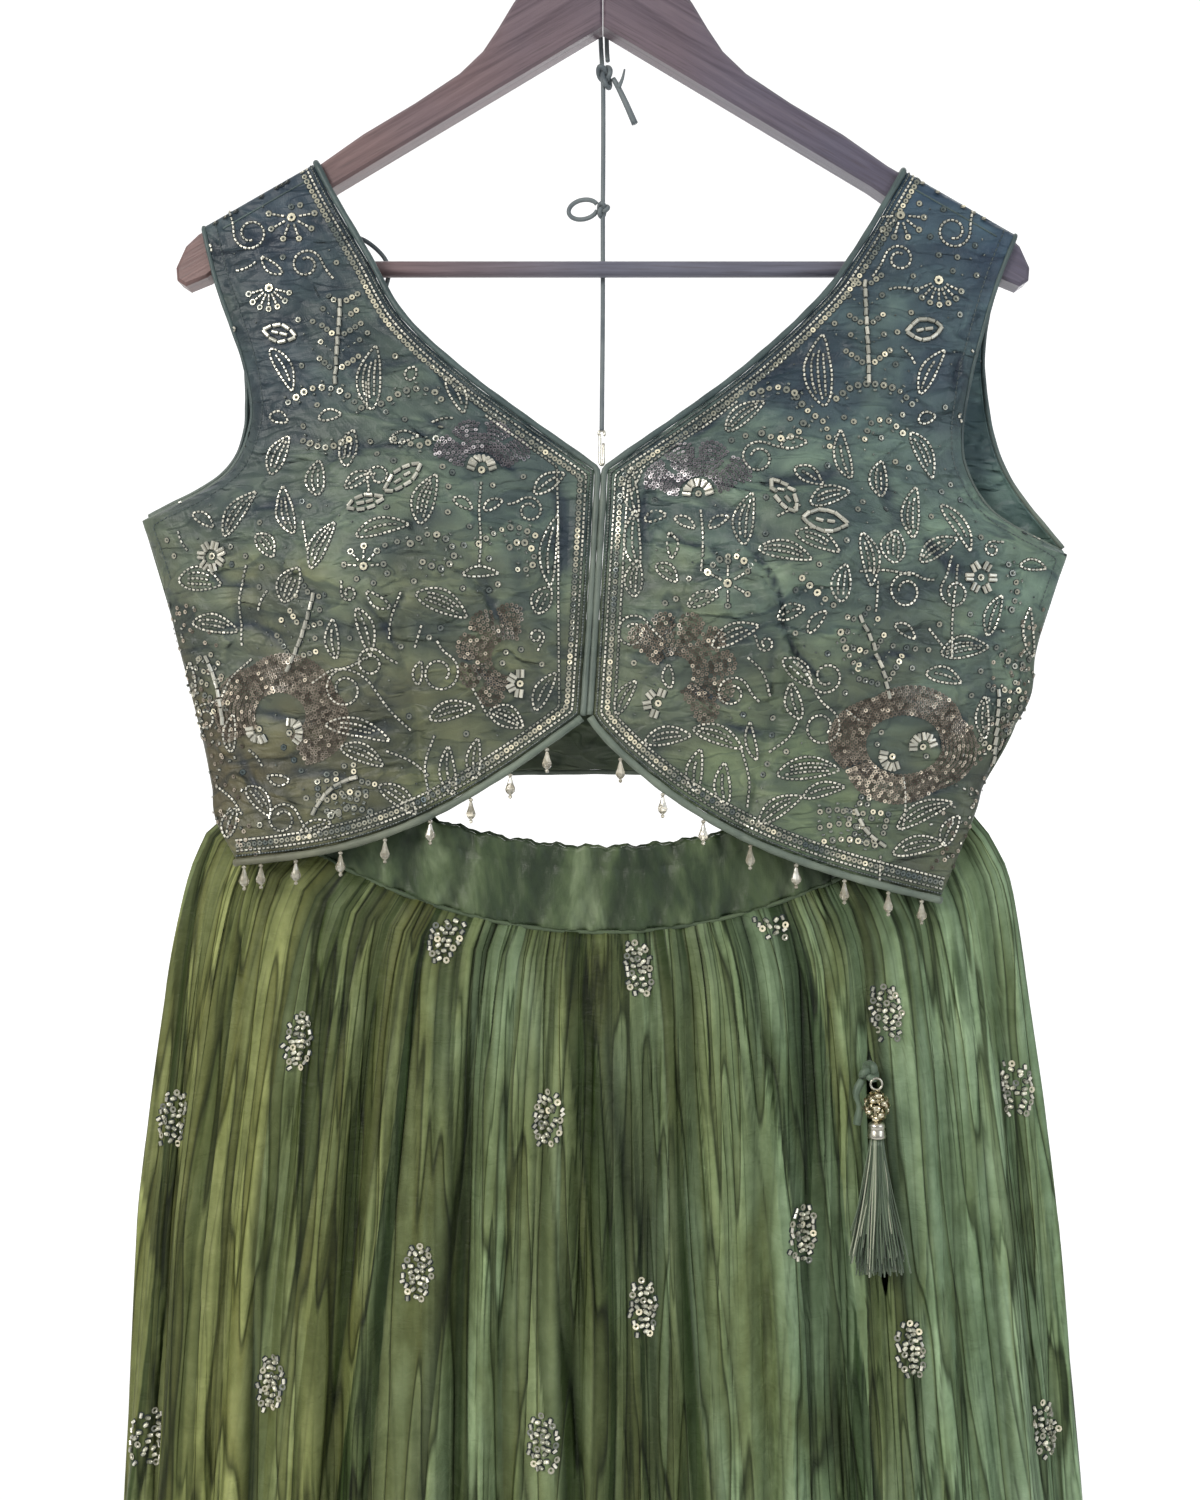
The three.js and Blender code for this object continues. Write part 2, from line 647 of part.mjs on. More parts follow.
// The grid of a skirt panel between two turns, with one more column beyond each side for the normals.
function skirtPanel(name, from, to, columns) {
  const [fromTurn, toTurn] = [from, to].map(THREE.MathUtils.degToRad);
  const wide = SKIRT_ROWS.map((row) => {
    const halfGap = (angle) => (name === 'front') === (angle === toTurn) ? slitHalf(row.fall) : GAP / 2;
    const start = fromTurn + halfGap(fromTurn) / speed(fromTurn, row);
    const end = toTurn - halfGap(toTurn) / speed(toTurn, row);
    return Array.from({ length: columns + 3 }, (_, c) =>
      skirtPoint(mix(start, end, (c - 1) / columns), row.fall, row),
    );
  });
  add(`skirt_${name}`, trimmedWall(wide, SKIRT_CLOTH), 'skirt');
}

const PIPING_END = 0.14; // of a step, kept back so that the two pipings' ends stay apart

function bandPoint(turn, below) {
  const across = sectionAcross(turn);
  const down = WAIST.topDown - WAIST.rise * across * across + below;
  return at(WAIST.half * across, down, -WAIST.depth * sectionDepth(turn));
}

function skirtBand(name, from, to, columns) {
  const [fromTurn, toTurn] = [from, to].map(THREE.MathUtils.degToRad);
  const band = { right: WAIST.half, left: WAIST.half, depth: WAIST.depth };
  const start = fromTurn + GAP / speed(fromTurn, band);
  const end = toTurn - GAP / speed(toTurn, band);
  const line = (below) =>
    Array.from({ length: columns + 3 }, (_, c) => bandPoint(mix(start, end, (c - 1) / columns), below));
  const lines = [line(0), line(WAIST.height / 2), line(WAIST.height)];
  add(`waistband_${name}`, trimmedWall(lines, SKIRT_CLOTH), 'band');
  const seam = line(WAIST.height + GAP + WAIST_PIPING).slice(1, -1);
  seam[0].lerp(seam[1], PIPING_END);
  seam.at(-1).lerp(seam.at(-2), PIPING_END);
  add(`waist_piping_${name}`, roll(seam, WAIST_PIPING), 'band');
}

// A hanging loop of ribbon, sewn inside the band at one side and over the hanger's bar.
const LOOP = { topAcross: 172, footAcross: 177, width: 6, thick: 1.2, footDown: 484, footDepth: 2.9 };
const LOOP_MIDDLE = { down: 365, depth: 3.8 };

function skirtLoop(name, sign) {
  const over = BAR.radius + GAP + LOOP.thick / 2 + 0.1; // a little slack over the bar
  const line = [];
  line.push({ across: LOOP.footAcross, down: LOOP.footDown, y: -LOOP.footDepth });
  const middle = (LOOP.footAcross + LOOP.topAcross) / 2;
  line.push({ across: middle, down: LOOP_MIDDLE.down, y: -LOOP_MIDDLE.depth });
  for (let angle = 180; angle >= 0; angle -= 30) {
    const a = THREE.MathUtils.degToRad(angle);
    line.push({ across: LOOP.topAcross, down: BAR.down - over * Math.sin(a), y: over * Math.cos(a) });
  }
  line.push({ across: middle, down: LOOP_MIDDLE.down, y: LOOP_MIDDLE.depth });
  line.push({ across: LOOP.footAcross, down: LOOP.footDown, y: LOOP.footDepth });
  const grid = line.map(({ across, down, y }) => [
    at(sign * (across - LOOP.width / 2), down, y),
    at(sign * (across + LOOP.width / 2), down, y),
  ]);
  add(`skirt_loop_${name}`, wall(grid, LOOP.thick), 'cord');
}

// ---------- the tie at the skirt's left slit ----------
const TIE = { across: 137.3, knot: { across: 134.5, down: 649, depth: 27.5 } };
const TASSEL = { across: 137.4, depth: 32.5 };
// Radius and distance down from the origin, for the pieces that hang in line.
const TASSEL_BALL = [
  [0, 658.4],
  [3.6, 660],
  [5.4, 664],
  [5.2, 668],
  [3, 671.4],
  [0, 672.4],
];
const TASSEL_CAP = [
  [0, 672.8],
  [2.6, 673.2],
  [4.2, 675.5],
  [4.4, 681],
  [3.2, 681.6],
  [0, 681.6],
];
const TASSEL_SILK = [
  { down: 682, wide: 3.4, thick: 3.2, lean: 0 },
  { down: 688, wide: 5, thick: 4, lean: 0.3 },
  { down: 705, wide: 7.5, thick: 4.6, lean: 1 },
  { down: 725, wide: 11.5, thick: 4.8, lean: 2.2 },
  { down: 746, wide: 14, thick: 4.8, lean: 3 },
];

function tieAndTassel() {
  const { knot } = TIE;
  const inside = [
    at(TIE.across - 8, 562, -3),
    at(TIE.across - 5, 590, -5.5),
    at(TIE.across - 2, 618, -8),
    at(TIE.across, 640, -9.2),
    at(TIE.across, 652, -12.5),
    at(TIE.across, 655.5, -18),
    at(TIE.across - 2, 651, -knot.depth + 4.5),
  ];
  add('tie_cord', tube(inside, CORD, 6), 'skirt');

  const knotBall = new THREE.SphereGeometry(1, 10, 7);
  knotBall.scale(5, 4, 4.6);
  knotBall.translate(knot.across, -knot.depth, -knot.down);
  add('tie_knot', knotBall, 'skirt');

  const tail = [
    at(knot.across - 3.3, knot.down + 4.2, -knot.depth - 0.3),
    at(knot.across - 6, knot.down + 10, -knot.depth - 1.5),
    at(knot.across - 5, knot.down + 18, -knot.depth - 2),
    at(knot.across - 6.5, knot.down + 26, -knot.depth - 2),
  ];
  add('tie_tail', tube(tail, 1.6, 5), 'skirt');

  const ring = new THREE.TorusGeometry(2.9, 0.6, 6, 14);
  ring.rotateX(Math.PI / 2);
  ring.translate(TASSEL.across, -TASSEL.depth + 1, -654.6);
  add('tassel_ring', ring, 'steel');

  const hang = new THREE.Vector3(TASSEL.across, -TASSEL.depth, 0);
  add('tassel_bead_ball', lathe(TASSEL_BALL, 8, hang), 'bead');
  add('tassel_cap', lathe(TASSEL_CAP, 12, hang), 'steel');
  add('tassel_silk', stack(TASSEL_SILK, 14, hang), 'silk');
}

// A closed solid of oval sections, one above the other.
function stack(sections, sides, centre) {
  const points = [];
  sections.forEach(({ down, wide, thick, lean }) => {
    for (let i = 0; i < sides; i += 1) {
      const angle = (2 * Math.PI * i) / sides;
      points.push(at(centre.x + wide * Math.cos(angle), down, centre.y - lean + thick * Math.sin(angle)));
    }
  });
  return rings(points, sections.length, sides);
}

// ---------- the cord that holds up the V ----------
// A rouleau cord runs from a metal hook at the V up behind the bar, through a small loop knot, to a knot
// below the wood. A noose goes on from there, up behind the wood and round the hook's shank.
const UPPER_KNOT = { across: 1.3, down: 133, depth: -6.5, wide: 4.3, thick: 3.6, tall: 7.6 };
const LOOP_KNOT = { across: 0, down: 203.5, depth: -5.8, wide: 3.2, thick: 3, tall: 4.6 };
const BACK_OF_WOOD = HANGER_THICK / 2 + GAP + CORD;
const V_HOOK = { across: -0.6, top: 324, foot: 342, wide: 4.4, thick: 1.2, depth: 17.9 };

function oval(name, { across, down, depth, wide, thick, tall }) {
  const ball = new THREE.SphereGeometry(1, 10, 8);
  ball.scale(wide, thick, tall);
  ball.translate(across, -depth, -down);
  add(name, ball, 'cord');
}

function neckCord() {
  const lower = [
    at(V_HOOK.across, V_HOOK.top - GAP, V_HOOK.thick / 2 - V_HOOK.depth),
    at(-0.5, 312, -16.5),
    at(-0.3, 290, -10),
    at(-0.1, 268, -2.5),
    at(0, 248, 4),
    at(0, BAR.down, BAR.radius + GAP + CORD + 0.3),
    at(0, 223, 6),
    at(0, LOOP_KNOT.down + LOOP_KNOT.tall + GAP, 5.8),
  ];
  add('cord_lower', tube(lower, CORD, 6), 'cord');
  oval('cord_loop_knot', LOOP_KNOT);

  const loop = new THREE.TorusGeometry(1, 0.2, 8, 16);
  loop.scale(5.6, 5, 7);
  loop.rotateX(Math.PI / 2);
  loop.translate(LOOP_KNOT.across - LOOP_KNOT.wide - GAP - 6.8, -LOOP_KNOT.depth, -LOOP_KNOT.down);
  add('cord_loop', loop, 'cord');

  const upper = [
    at(0, LOOP_KNOT.down - LOOP_KNOT.tall - GAP, 5.8),
    at(0.2, 175, 6),
    at(0.2, UPPER_KNOT.down + UPPER_KNOT.tall + GAP + 0.2, 6.5),
  ];
  add('cord_upper', tube(upper, CORD, 6), 'cord');
  oval('cord_knot', UPPER_KNOT);

  const side = 1.55;
  const strand = (sign) => [
    at(1 + sign * side, UPPER_KNOT.down - UPPER_KNOT.tall - GAP, 7.4),
    at(0.6 + sign * side, 117, BACK_OF_WOOD),
    at(sign * 1.9, 95, BACK_OF_WOOD),
    at(sign * 3.2, 72, BACK_OF_WOOD),
    at(sign * 3.8, HANGER_TOP + 2, BACK_OF_WOOD + 0.6),
    at(sign * 4.4, HANGER_TOP - 2.6, BACK_OF_WOOD - 0.4),
    at(sign * 5, HANGER_TOP - 3.4, 5.5),
    at(sign * 5.6, HANGER_TOP - 2.2, 1),
  ];
  const noose = [...strand(-1), at(0, HANGER_TOP - 2.2, -4.9), ...strand(1).reverse()];
  add('cord_noose', tube(noose, CORD, 4.6), 'cord');

  const tail = [
    at(UPPER_KNOT.across + UPPER_KNOT.wide + GAP, UPPER_KNOT.down + 4.5, 6.5),
    at(8.6, 141, 6.2),
    at(12.4, 148.5, 6),
    at(16.6, 158, 6),
  ];
  add('cord_tail', tube(tail, 1.4, 5), 'cord');

  const hook = new THREE.Shape();
  const [w, top, foot] = [V_HOOK.wide / 2, -V_HOOK.top, -V_HOOK.foot];
  hook.moveTo(V_HOOK.across - w, foot + w);
  hook.lineTo(V_HOOK.across - w / 2, foot);
  hook.lineTo(V_HOOK.across + w / 2, foot);
  hook.lineTo(V_HOOK.across + w, foot + w);
  hook.lineTo(V_HOOK.across + w, top);
  hook.lineTo(V_HOOK.across - w, top);
  hook.closePath();
  const plate = new THREE.ExtrudeGeometry(hook, { depth: V_HOOK.thick, bevelEnabled: false });
  plate.rotateX(Math.PI / 2);
  plate.translate(0, V_HOOK.thick - V_HOOK.depth, 0);
  add('cord_hook', plate, 'steel');
}

// A short rouleau loop on the back neck edge, at the wearer's right.
function backNeckLoop() {
  const points = [
    at(-134.3, 215, 10.7),
    at(-124, 219.5, 9),
    at(-115, 228, 7.3),
    at(-112.3, 236.5, 6.7),
    at(-115.5, 246.5, 9),
    at(-120.4, 251, 12),
  ];
  add('choli_back_loop', tube(points, CORD, 5), 'cord');
}

// ---------- the whole set ----------
add('hanger_arm_right', hangerArm(-1), 'wood');
add('hanger_arm_left', hangerArm(1), 'wood');
add('hanger_bar', hangerBar(), 'wood');
add('hanger_hook', hangerHook(), 'steel');

choliFront('right', front.right);
choliFront('left', front.left);
choliBack();
backNeckLoop();

skirtPanel('front', SIDE_SEAM.right, SIDE_SEAM.left, 50);
skirtPanel('back', SIDE_SEAM.left, 360 + SIDE_SEAM.right, 62);
skirtBand('front', SIDE_SEAM.right, SIDE_SEAM.left, 22);
skirtBand('back', SIDE_SEAM.left, 360 + SIDE_SEAM.right, 32);
skirtLoop('right', -1);
skirtLoop('left', 1);

tieAndTassel();
neckCord();

export default part;
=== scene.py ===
"""The looks of the lehenga set: a beaded choli and a crushed-silk skirt on a wooden hanger.

Distances in the tables are millimetres, as the garment was cut: "down" is below the inside top of the
hanger's hook, "across" is from the middle towards that side and "depth" is towards the front or back.
Everything that is made from them is in metres. The wearer would face -Y, so their left is +X.
"""

import json
import math
import random

import bmesh
import bpy
import numpy as np
from mathutils import Vector
from mathutils.bvhtree import BVHTree
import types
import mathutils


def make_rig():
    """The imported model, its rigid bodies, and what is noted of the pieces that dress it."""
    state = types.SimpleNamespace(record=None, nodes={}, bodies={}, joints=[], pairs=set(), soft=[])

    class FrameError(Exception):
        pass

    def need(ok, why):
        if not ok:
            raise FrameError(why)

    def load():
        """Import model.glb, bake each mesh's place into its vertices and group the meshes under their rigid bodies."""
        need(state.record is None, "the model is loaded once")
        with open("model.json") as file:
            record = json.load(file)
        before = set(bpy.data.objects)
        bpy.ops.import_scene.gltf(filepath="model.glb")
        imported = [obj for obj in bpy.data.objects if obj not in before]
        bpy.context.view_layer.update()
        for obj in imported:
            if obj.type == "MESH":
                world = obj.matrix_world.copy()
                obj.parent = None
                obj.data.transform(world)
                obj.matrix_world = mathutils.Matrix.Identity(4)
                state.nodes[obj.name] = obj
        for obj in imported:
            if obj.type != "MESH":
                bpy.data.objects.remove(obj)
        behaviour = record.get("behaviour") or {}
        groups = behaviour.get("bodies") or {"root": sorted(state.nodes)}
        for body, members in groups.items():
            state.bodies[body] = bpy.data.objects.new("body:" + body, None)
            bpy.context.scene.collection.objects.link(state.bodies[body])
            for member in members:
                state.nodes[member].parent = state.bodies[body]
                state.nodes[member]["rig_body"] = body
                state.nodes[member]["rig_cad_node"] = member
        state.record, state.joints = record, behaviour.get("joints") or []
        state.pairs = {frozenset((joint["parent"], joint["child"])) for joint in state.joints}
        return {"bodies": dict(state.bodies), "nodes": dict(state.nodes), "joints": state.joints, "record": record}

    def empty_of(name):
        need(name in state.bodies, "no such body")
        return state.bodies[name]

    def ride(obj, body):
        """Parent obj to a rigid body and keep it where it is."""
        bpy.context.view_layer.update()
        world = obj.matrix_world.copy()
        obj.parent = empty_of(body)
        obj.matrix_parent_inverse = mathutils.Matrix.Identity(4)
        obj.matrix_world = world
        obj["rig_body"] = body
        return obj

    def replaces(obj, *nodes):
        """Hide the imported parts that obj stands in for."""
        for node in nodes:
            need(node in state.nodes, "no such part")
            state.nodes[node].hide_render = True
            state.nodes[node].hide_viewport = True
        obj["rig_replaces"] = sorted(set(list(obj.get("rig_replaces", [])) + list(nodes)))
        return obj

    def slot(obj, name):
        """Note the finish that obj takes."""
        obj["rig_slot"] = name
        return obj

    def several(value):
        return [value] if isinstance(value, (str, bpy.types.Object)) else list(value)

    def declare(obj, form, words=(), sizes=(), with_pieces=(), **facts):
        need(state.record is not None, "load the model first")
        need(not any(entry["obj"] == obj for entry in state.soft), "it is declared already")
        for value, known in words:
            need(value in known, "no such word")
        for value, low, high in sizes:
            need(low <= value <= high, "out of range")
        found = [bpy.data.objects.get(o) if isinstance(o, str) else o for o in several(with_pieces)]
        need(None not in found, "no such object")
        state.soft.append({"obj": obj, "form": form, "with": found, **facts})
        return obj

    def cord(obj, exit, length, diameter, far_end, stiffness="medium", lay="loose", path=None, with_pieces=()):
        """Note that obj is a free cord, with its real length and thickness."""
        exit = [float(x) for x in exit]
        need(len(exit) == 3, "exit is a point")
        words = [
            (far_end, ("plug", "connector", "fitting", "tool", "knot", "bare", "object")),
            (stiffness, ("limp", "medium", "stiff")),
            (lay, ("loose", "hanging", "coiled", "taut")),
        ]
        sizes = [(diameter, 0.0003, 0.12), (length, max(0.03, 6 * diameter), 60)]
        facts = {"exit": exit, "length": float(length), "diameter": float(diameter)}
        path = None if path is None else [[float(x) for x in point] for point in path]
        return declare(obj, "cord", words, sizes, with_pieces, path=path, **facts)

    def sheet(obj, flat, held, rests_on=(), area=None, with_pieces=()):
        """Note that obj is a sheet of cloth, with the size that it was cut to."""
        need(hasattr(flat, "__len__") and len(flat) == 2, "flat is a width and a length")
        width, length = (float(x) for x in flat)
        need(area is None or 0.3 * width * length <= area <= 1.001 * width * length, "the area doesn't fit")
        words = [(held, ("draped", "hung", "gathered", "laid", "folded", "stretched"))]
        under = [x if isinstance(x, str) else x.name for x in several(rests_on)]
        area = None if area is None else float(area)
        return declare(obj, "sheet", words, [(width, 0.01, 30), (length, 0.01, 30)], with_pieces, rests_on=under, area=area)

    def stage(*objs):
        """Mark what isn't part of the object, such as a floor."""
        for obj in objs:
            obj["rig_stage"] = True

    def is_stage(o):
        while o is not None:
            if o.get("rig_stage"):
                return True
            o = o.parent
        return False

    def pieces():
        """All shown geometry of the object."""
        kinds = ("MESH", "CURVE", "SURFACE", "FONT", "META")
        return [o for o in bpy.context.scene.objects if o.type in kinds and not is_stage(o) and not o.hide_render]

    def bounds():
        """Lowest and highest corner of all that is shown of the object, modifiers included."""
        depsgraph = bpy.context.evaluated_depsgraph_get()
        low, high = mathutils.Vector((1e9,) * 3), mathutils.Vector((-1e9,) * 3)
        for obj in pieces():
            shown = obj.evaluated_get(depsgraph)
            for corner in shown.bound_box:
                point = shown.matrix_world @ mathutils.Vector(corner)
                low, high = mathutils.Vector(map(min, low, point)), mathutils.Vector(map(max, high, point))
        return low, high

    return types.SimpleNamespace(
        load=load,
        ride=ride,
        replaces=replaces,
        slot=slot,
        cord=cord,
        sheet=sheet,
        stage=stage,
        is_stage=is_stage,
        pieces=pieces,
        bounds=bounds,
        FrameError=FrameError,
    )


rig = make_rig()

MM = 0.001
SIGNS = {"right": -1, "left": 1}  # of across, at each side
SIZE_FILE = "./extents.json"

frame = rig.load()
cad_box = [list(corner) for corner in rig.bounds()]
scene = bpy.context.scene
chance = random.Random(7)


# ---------- camera ----------
CAMERA_FRONT = 0.910  # in front of the hanger
CAMERA_DOWN = 0.4867
CAMERA_ACROSS = -0.0015
SEEN_HEIGHT = 0.7725  # of the picture, at FOCUS_DEPTH in front of the hanger
FOCUS_DEPTH = 0.010
SENSOR = 36.0

camera_data = bpy.data.cameras.new("camera")
camera_data.sensor_width = SENSOR
camera_data.lens = SENSOR * (CAMERA_FRONT - FOCUS_DEPTH) / SEEN_HEIGHT
camera_data.clip_start = 0.05
camera = bpy.data.objects.new("camera", camera_data)
camera.location = (CAMERA_ACROSS, -CAMERA_FRONT, -CAMERA_DOWN)
camera.rotation_euler = (math.radians(90), 0, 0)
scene.collection.objects.link(camera)
scene.camera = camera


# ---------- tables ----------
def value(word):
    """A word of a table as a whole number, as a number or as it is."""
    for kind in (int, float):
        try:
            return kind(word)
        except ValueError:
            continue
    return word


def rows_of(text):
    """The rows of a table. A comma or a new line ends each."""
    rows = text.replace("\n", ",").split(",")
    return [tuple(value(word) for word in row.split()) for row in rows if row.strip()]


def columns_of(text):
    """A table's named columns. Its first row has their names, and each other row starts with its own name."""
    names, *rows = rows_of(text)
    columns = {name: np.array([row[i] for row in rows], float) for i, name in enumerate(names) if i}
    return {"row": [row[0] for row in rows], **columns}


def along(data, column, position, corners=()):
    """A column at fractional rows, as a smooth curve with a corner at each row named in corners."""
    values = data[column]
    last = len(values) - 1
    position = np.asarray(position, float)
    i = np.clip(np.floor(position).astype(int), 0, last - 1)
    t = position - i
    step = np.diff(values)
    centred = np.gradient(values)
    sharp = np.array([k in (0, last) or name in corners for k, name in enumerate(data["row"])])
    m0 = np.where(sharp[i], step[i], centred[i])
    m1 = np.where(sharp[i + 1], step[i], centred[i + 1])
    values_part = (2 * t**3 - 3 * t**2 + 1) * values[i] + (3 * t**2 - 2 * t**3) * values[i + 1]
    return values_part + (t**3 - 2 * t**2 + t) * m0 + (t**3 - t**2) * m1


# ---------- numbers and lines ----------
def ramp(a, b, t):
    s = np.clip((np.asarray(t, float) - a) / (b - a), 0, 1)
    return s * s * (3 - 2 * s)


def mix(a, b, t):
    return a + (b - a) * t


def unit(v):
    return v / np.maximum(np.linalg.norm(v, axis=-1, keepdims=True), 1e-12)


def circle(sides, phase=0.0):
    """Angles round a circle, without its start again at the end."""
    return np.linspace(0, 2 * math.pi, sides, endpoint=False) + phase


def normals_of(grid):
    """The unit normal of a grid of points at each of its points."""
    du = np.empty_like(grid)
    dv = np.empty_like(grid)
    du[:, 1:-1] = grid[:, 2:] - grid[:, :-2]
    du[:, 0], du[:, -1] = grid[:, 1] - grid[:, 0], grid[:, -1] - grid[:, -2]
    dv[1:-1] = grid[2:] - grid[:-2]
    dv[0], dv[-1] = grid[1] - grid[0], grid[-1] - grid[-2]
    return unit(np.cross(du, dv))


def tangents_of(line):
    return unit(np.gradient(line, axis=0))


def length_of(line):
    return float(np.linalg.norm(np.diff(line, axis=0), axis=1).sum())


def area_of(points):
    """The area of a grid of points, in square metres."""
    a = points[1:, 1:] - points[:-1, :-1]
    b = points[1:, :-1] - points[:-1, 1:]
    return float(np.linalg.norm(np.cross(a, b), axis=-1).sum() / 2)


def spot(across, down, back):
    return (across * MM, back * MM, -down * MM)


def spots(*rows):
    return np.array([spot(*row) for row in rows])


def spaced(line, step):
    """Points at even steps along a line of points."""
    gaps = np.linalg.norm(np.diff(line, axis=0), axis=1)
    run = np.concatenate([[0], np.cumsum(gaps)])
    count = max(2, int(round(run[-1] / step)) + 1)
    marks = np.linspace(0, run[-1], count)
    return np.stack([np.interp(marks, run, line[:, k]) for k in range(line.shape[1])], axis=1)


def smooth_line(points, step=None, per_span=8):
    """A Catmull-Rom curve through points."""
    p = np.asarray(points, float)
    p = np.vstack([2 * p[0] - p[1], p, 2 * p[-1] - p[-2]])
    t = np.linspace(0, 1, per_span, endpoint=False)[:, None]
    spans = []
    for a, b, c, d in zip(p, p[1:], p[2:], p[3:]):
        start = b + t * (c - a) / 2 + t**2 * (a - 2.5 * b + 2 * c - d / 2)
        spans.append(start + t**3 * (1.5 * (b - c) + (d - a) / 2))
    line = np.vstack([*spans, p[-2][None]])
    return line if step is None else spaced(line, step)


# ---------- meshes ----------
def mesh_object(name, points, face_sets, material, smooth=True):
    """An object from points and arrays of faces. The faces of one array have as many corners each."""
    points = np.ascontiguousarray(points, dtype=np.float32).reshape(-1, 3)
    face_sets = [np.asarray(faces, dtype=np.int32) for faces in face_sets]
    corners = np.concatenate([faces.ravel() for faces in face_sets])
    sizes = np.concatenate([np.full(len(faces), faces.shape[1], np.int32) for faces in face_sets])
    mesh = bpy.data.meshes.new(name)
    mesh.vertices.add(len(points))
    mesh.vertices.foreach_set("co", points.ravel())
    mesh.loops.add(len(corners))
    mesh.loops.foreach_set("vertex_index", corners)
    mesh.polygons.add(len(sizes))
    starts = np.concatenate([[0], np.cumsum(sizes)[:-1]]).astype(np.int32)
    mesh.polygons.foreach_set("loop_start", starts)
    mesh.polygons.foreach_set("use_smooth", np.full(len(sizes), smooth))
    mesh.update(calc_edges=True)
    mesh.materials.append(material)
    made = bpy.data.objects.new(name, mesh)
    scene.collection.objects.link(made)
    return made


def paint(made, name, values):
    """Keeps a number for each vertex, for the materials to read."""
    layer = made.data.attributes.new(name, "FLOAT", "POINT")
    layer.data.foreach_set("value", np.ascontiguousarray(values, dtype=np.float32).ravel())


def grid_faces(rows, columns, round_columns=False, round_rows=False):
    high = rows if round_rows else rows - 1
    wide = columns if round_columns else columns - 1
    r, c = np.meshgrid(np.arange(high), np.arange(wide), indexing="ij")
    here, ahead = r * columns, (r + 1) % rows * columns
    beside = (c + 1) % columns
    return np.stack([here + c, ahead + c, ahead + beside, here + beside], axis=-1).reshape(-1, 4)


def fans(count, sides, outward=True):
    """Triangles that close a tube of rings at its two ends. Its last two points are the ends' middles."""
    k = np.arange(sides)
    ahead = (k + 1) % sides
    foot = (count - 1) * sides
    start = np.stack([np.full(sides, count * sides), k, ahead], axis=1)
    end = np.stack([np.full(sides, count * sides + 1), foot + ahead, foot + k], axis=1)
    return np.vstack([start, end] if outward else [start[:, [0, 2, 1]], end[:, [0, 2, 1]]])


def ring_points(line, side, tangent, radius, sides):
    """Rings of points round a line, each from its side direction."""
    up = np.cross(tangent, side)
    angle = circle(sides)[None, :, None]
    ring = np.cos(angle) * side[:, None] + np.sin(angle) * up[:, None]
    return (line[:, None] + radius * ring).reshape(-1, 3)


def sweep(line, radius, sides=10):
    """The points, side faces and end faces of a round cord along a line of points. The radius may vary."""
    line = np.asarray(line, float)
    count = len(line)
    radius = np.broadcast_to(np.asarray(radius, float), (count,))
    tangent = tangents_of(line)
    side = np.empty_like(line)
    previous = np.array([0.0, 1.0, 0.0])
    if abs(tangent[0] @ previous) > 0.9:
        previous = np.array([1.0, 0.0, 0.0])
    for i in range(count):
        previous = previous - tangent[i] * (previous @ tangent[i])
        previous = previous / max(np.linalg.norm(previous), 1e-9)
        side[i] = previous
    rings = ring_points(line, side, tangent, radius[:, None, None], sides)
    points = np.vstack([rings, line[0], line[-1]])
    walls = grid_faces(count, sides, round_columns=True)[:, ::-1]
    return points, walls, fans(count, sides, outward=False)


def joined(name, parts, material, smooth=True):
    """One object from several (points, quads, triangles)."""
    points, quads, triangles = zip(*parts)
    starts = np.cumsum([0, *(len(p) for p in points)])
    face_sets = [np.vstack([f + start for f, start in zip(faces, starts)]) for faces in (quads, triangles)]
    return mesh_object(name, np.vstack(points), face_sets, material, smooth)


def finish_piece(made, slot, *nodes):
    """The piece rides on the one body, takes its finish from a slot and stands for CAD nodes."""
    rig.ride(made, "root")
    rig.slot(made, slot)
    if nodes:
        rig.replaces(made, *nodes)
    return made


def cord_piece(name, line, radius, look, slot, *nodes, sides=10):
    """A closed round cord or rolled edge as a finished piece."""
    return finish_piece(joined(name, [sweep(line, radius, sides)], LOOK[look]), slot, *nodes)


def thread_piece(name, lines, radius, look, *nodes, sides=3):
    """Many threads as one finished piece, with a number from 0 to 1 for each in its paint."""
    parts, tones = [], []
    for line in lines:
        parts.append(sweep(line, radius, sides))
        tones.append(np.full(len(parts[-1][0]), chance.random()))
    made = joined(name, parts, LOOK[look])
    paint(made, "tone", np.concatenate(tones))
    return finish_piece(made, "silk_thread", *nodes)


# ---------- materials ----------
class Level:
    """A value that a surface works out at each of its points. Arithmetic with it adds nodes there."""

    def __init__(self, surface, socket):
        self.surface = surface
        self.socket = socket

    def __add__(self, other):
        return self.surface.math("ADD", self, other)

    def __sub__(self, other):
        return self.surface.math("SUBTRACT", self, other)

    def __mul__(self, other):
        return self.surface.math("MULTIPLY", self, other)


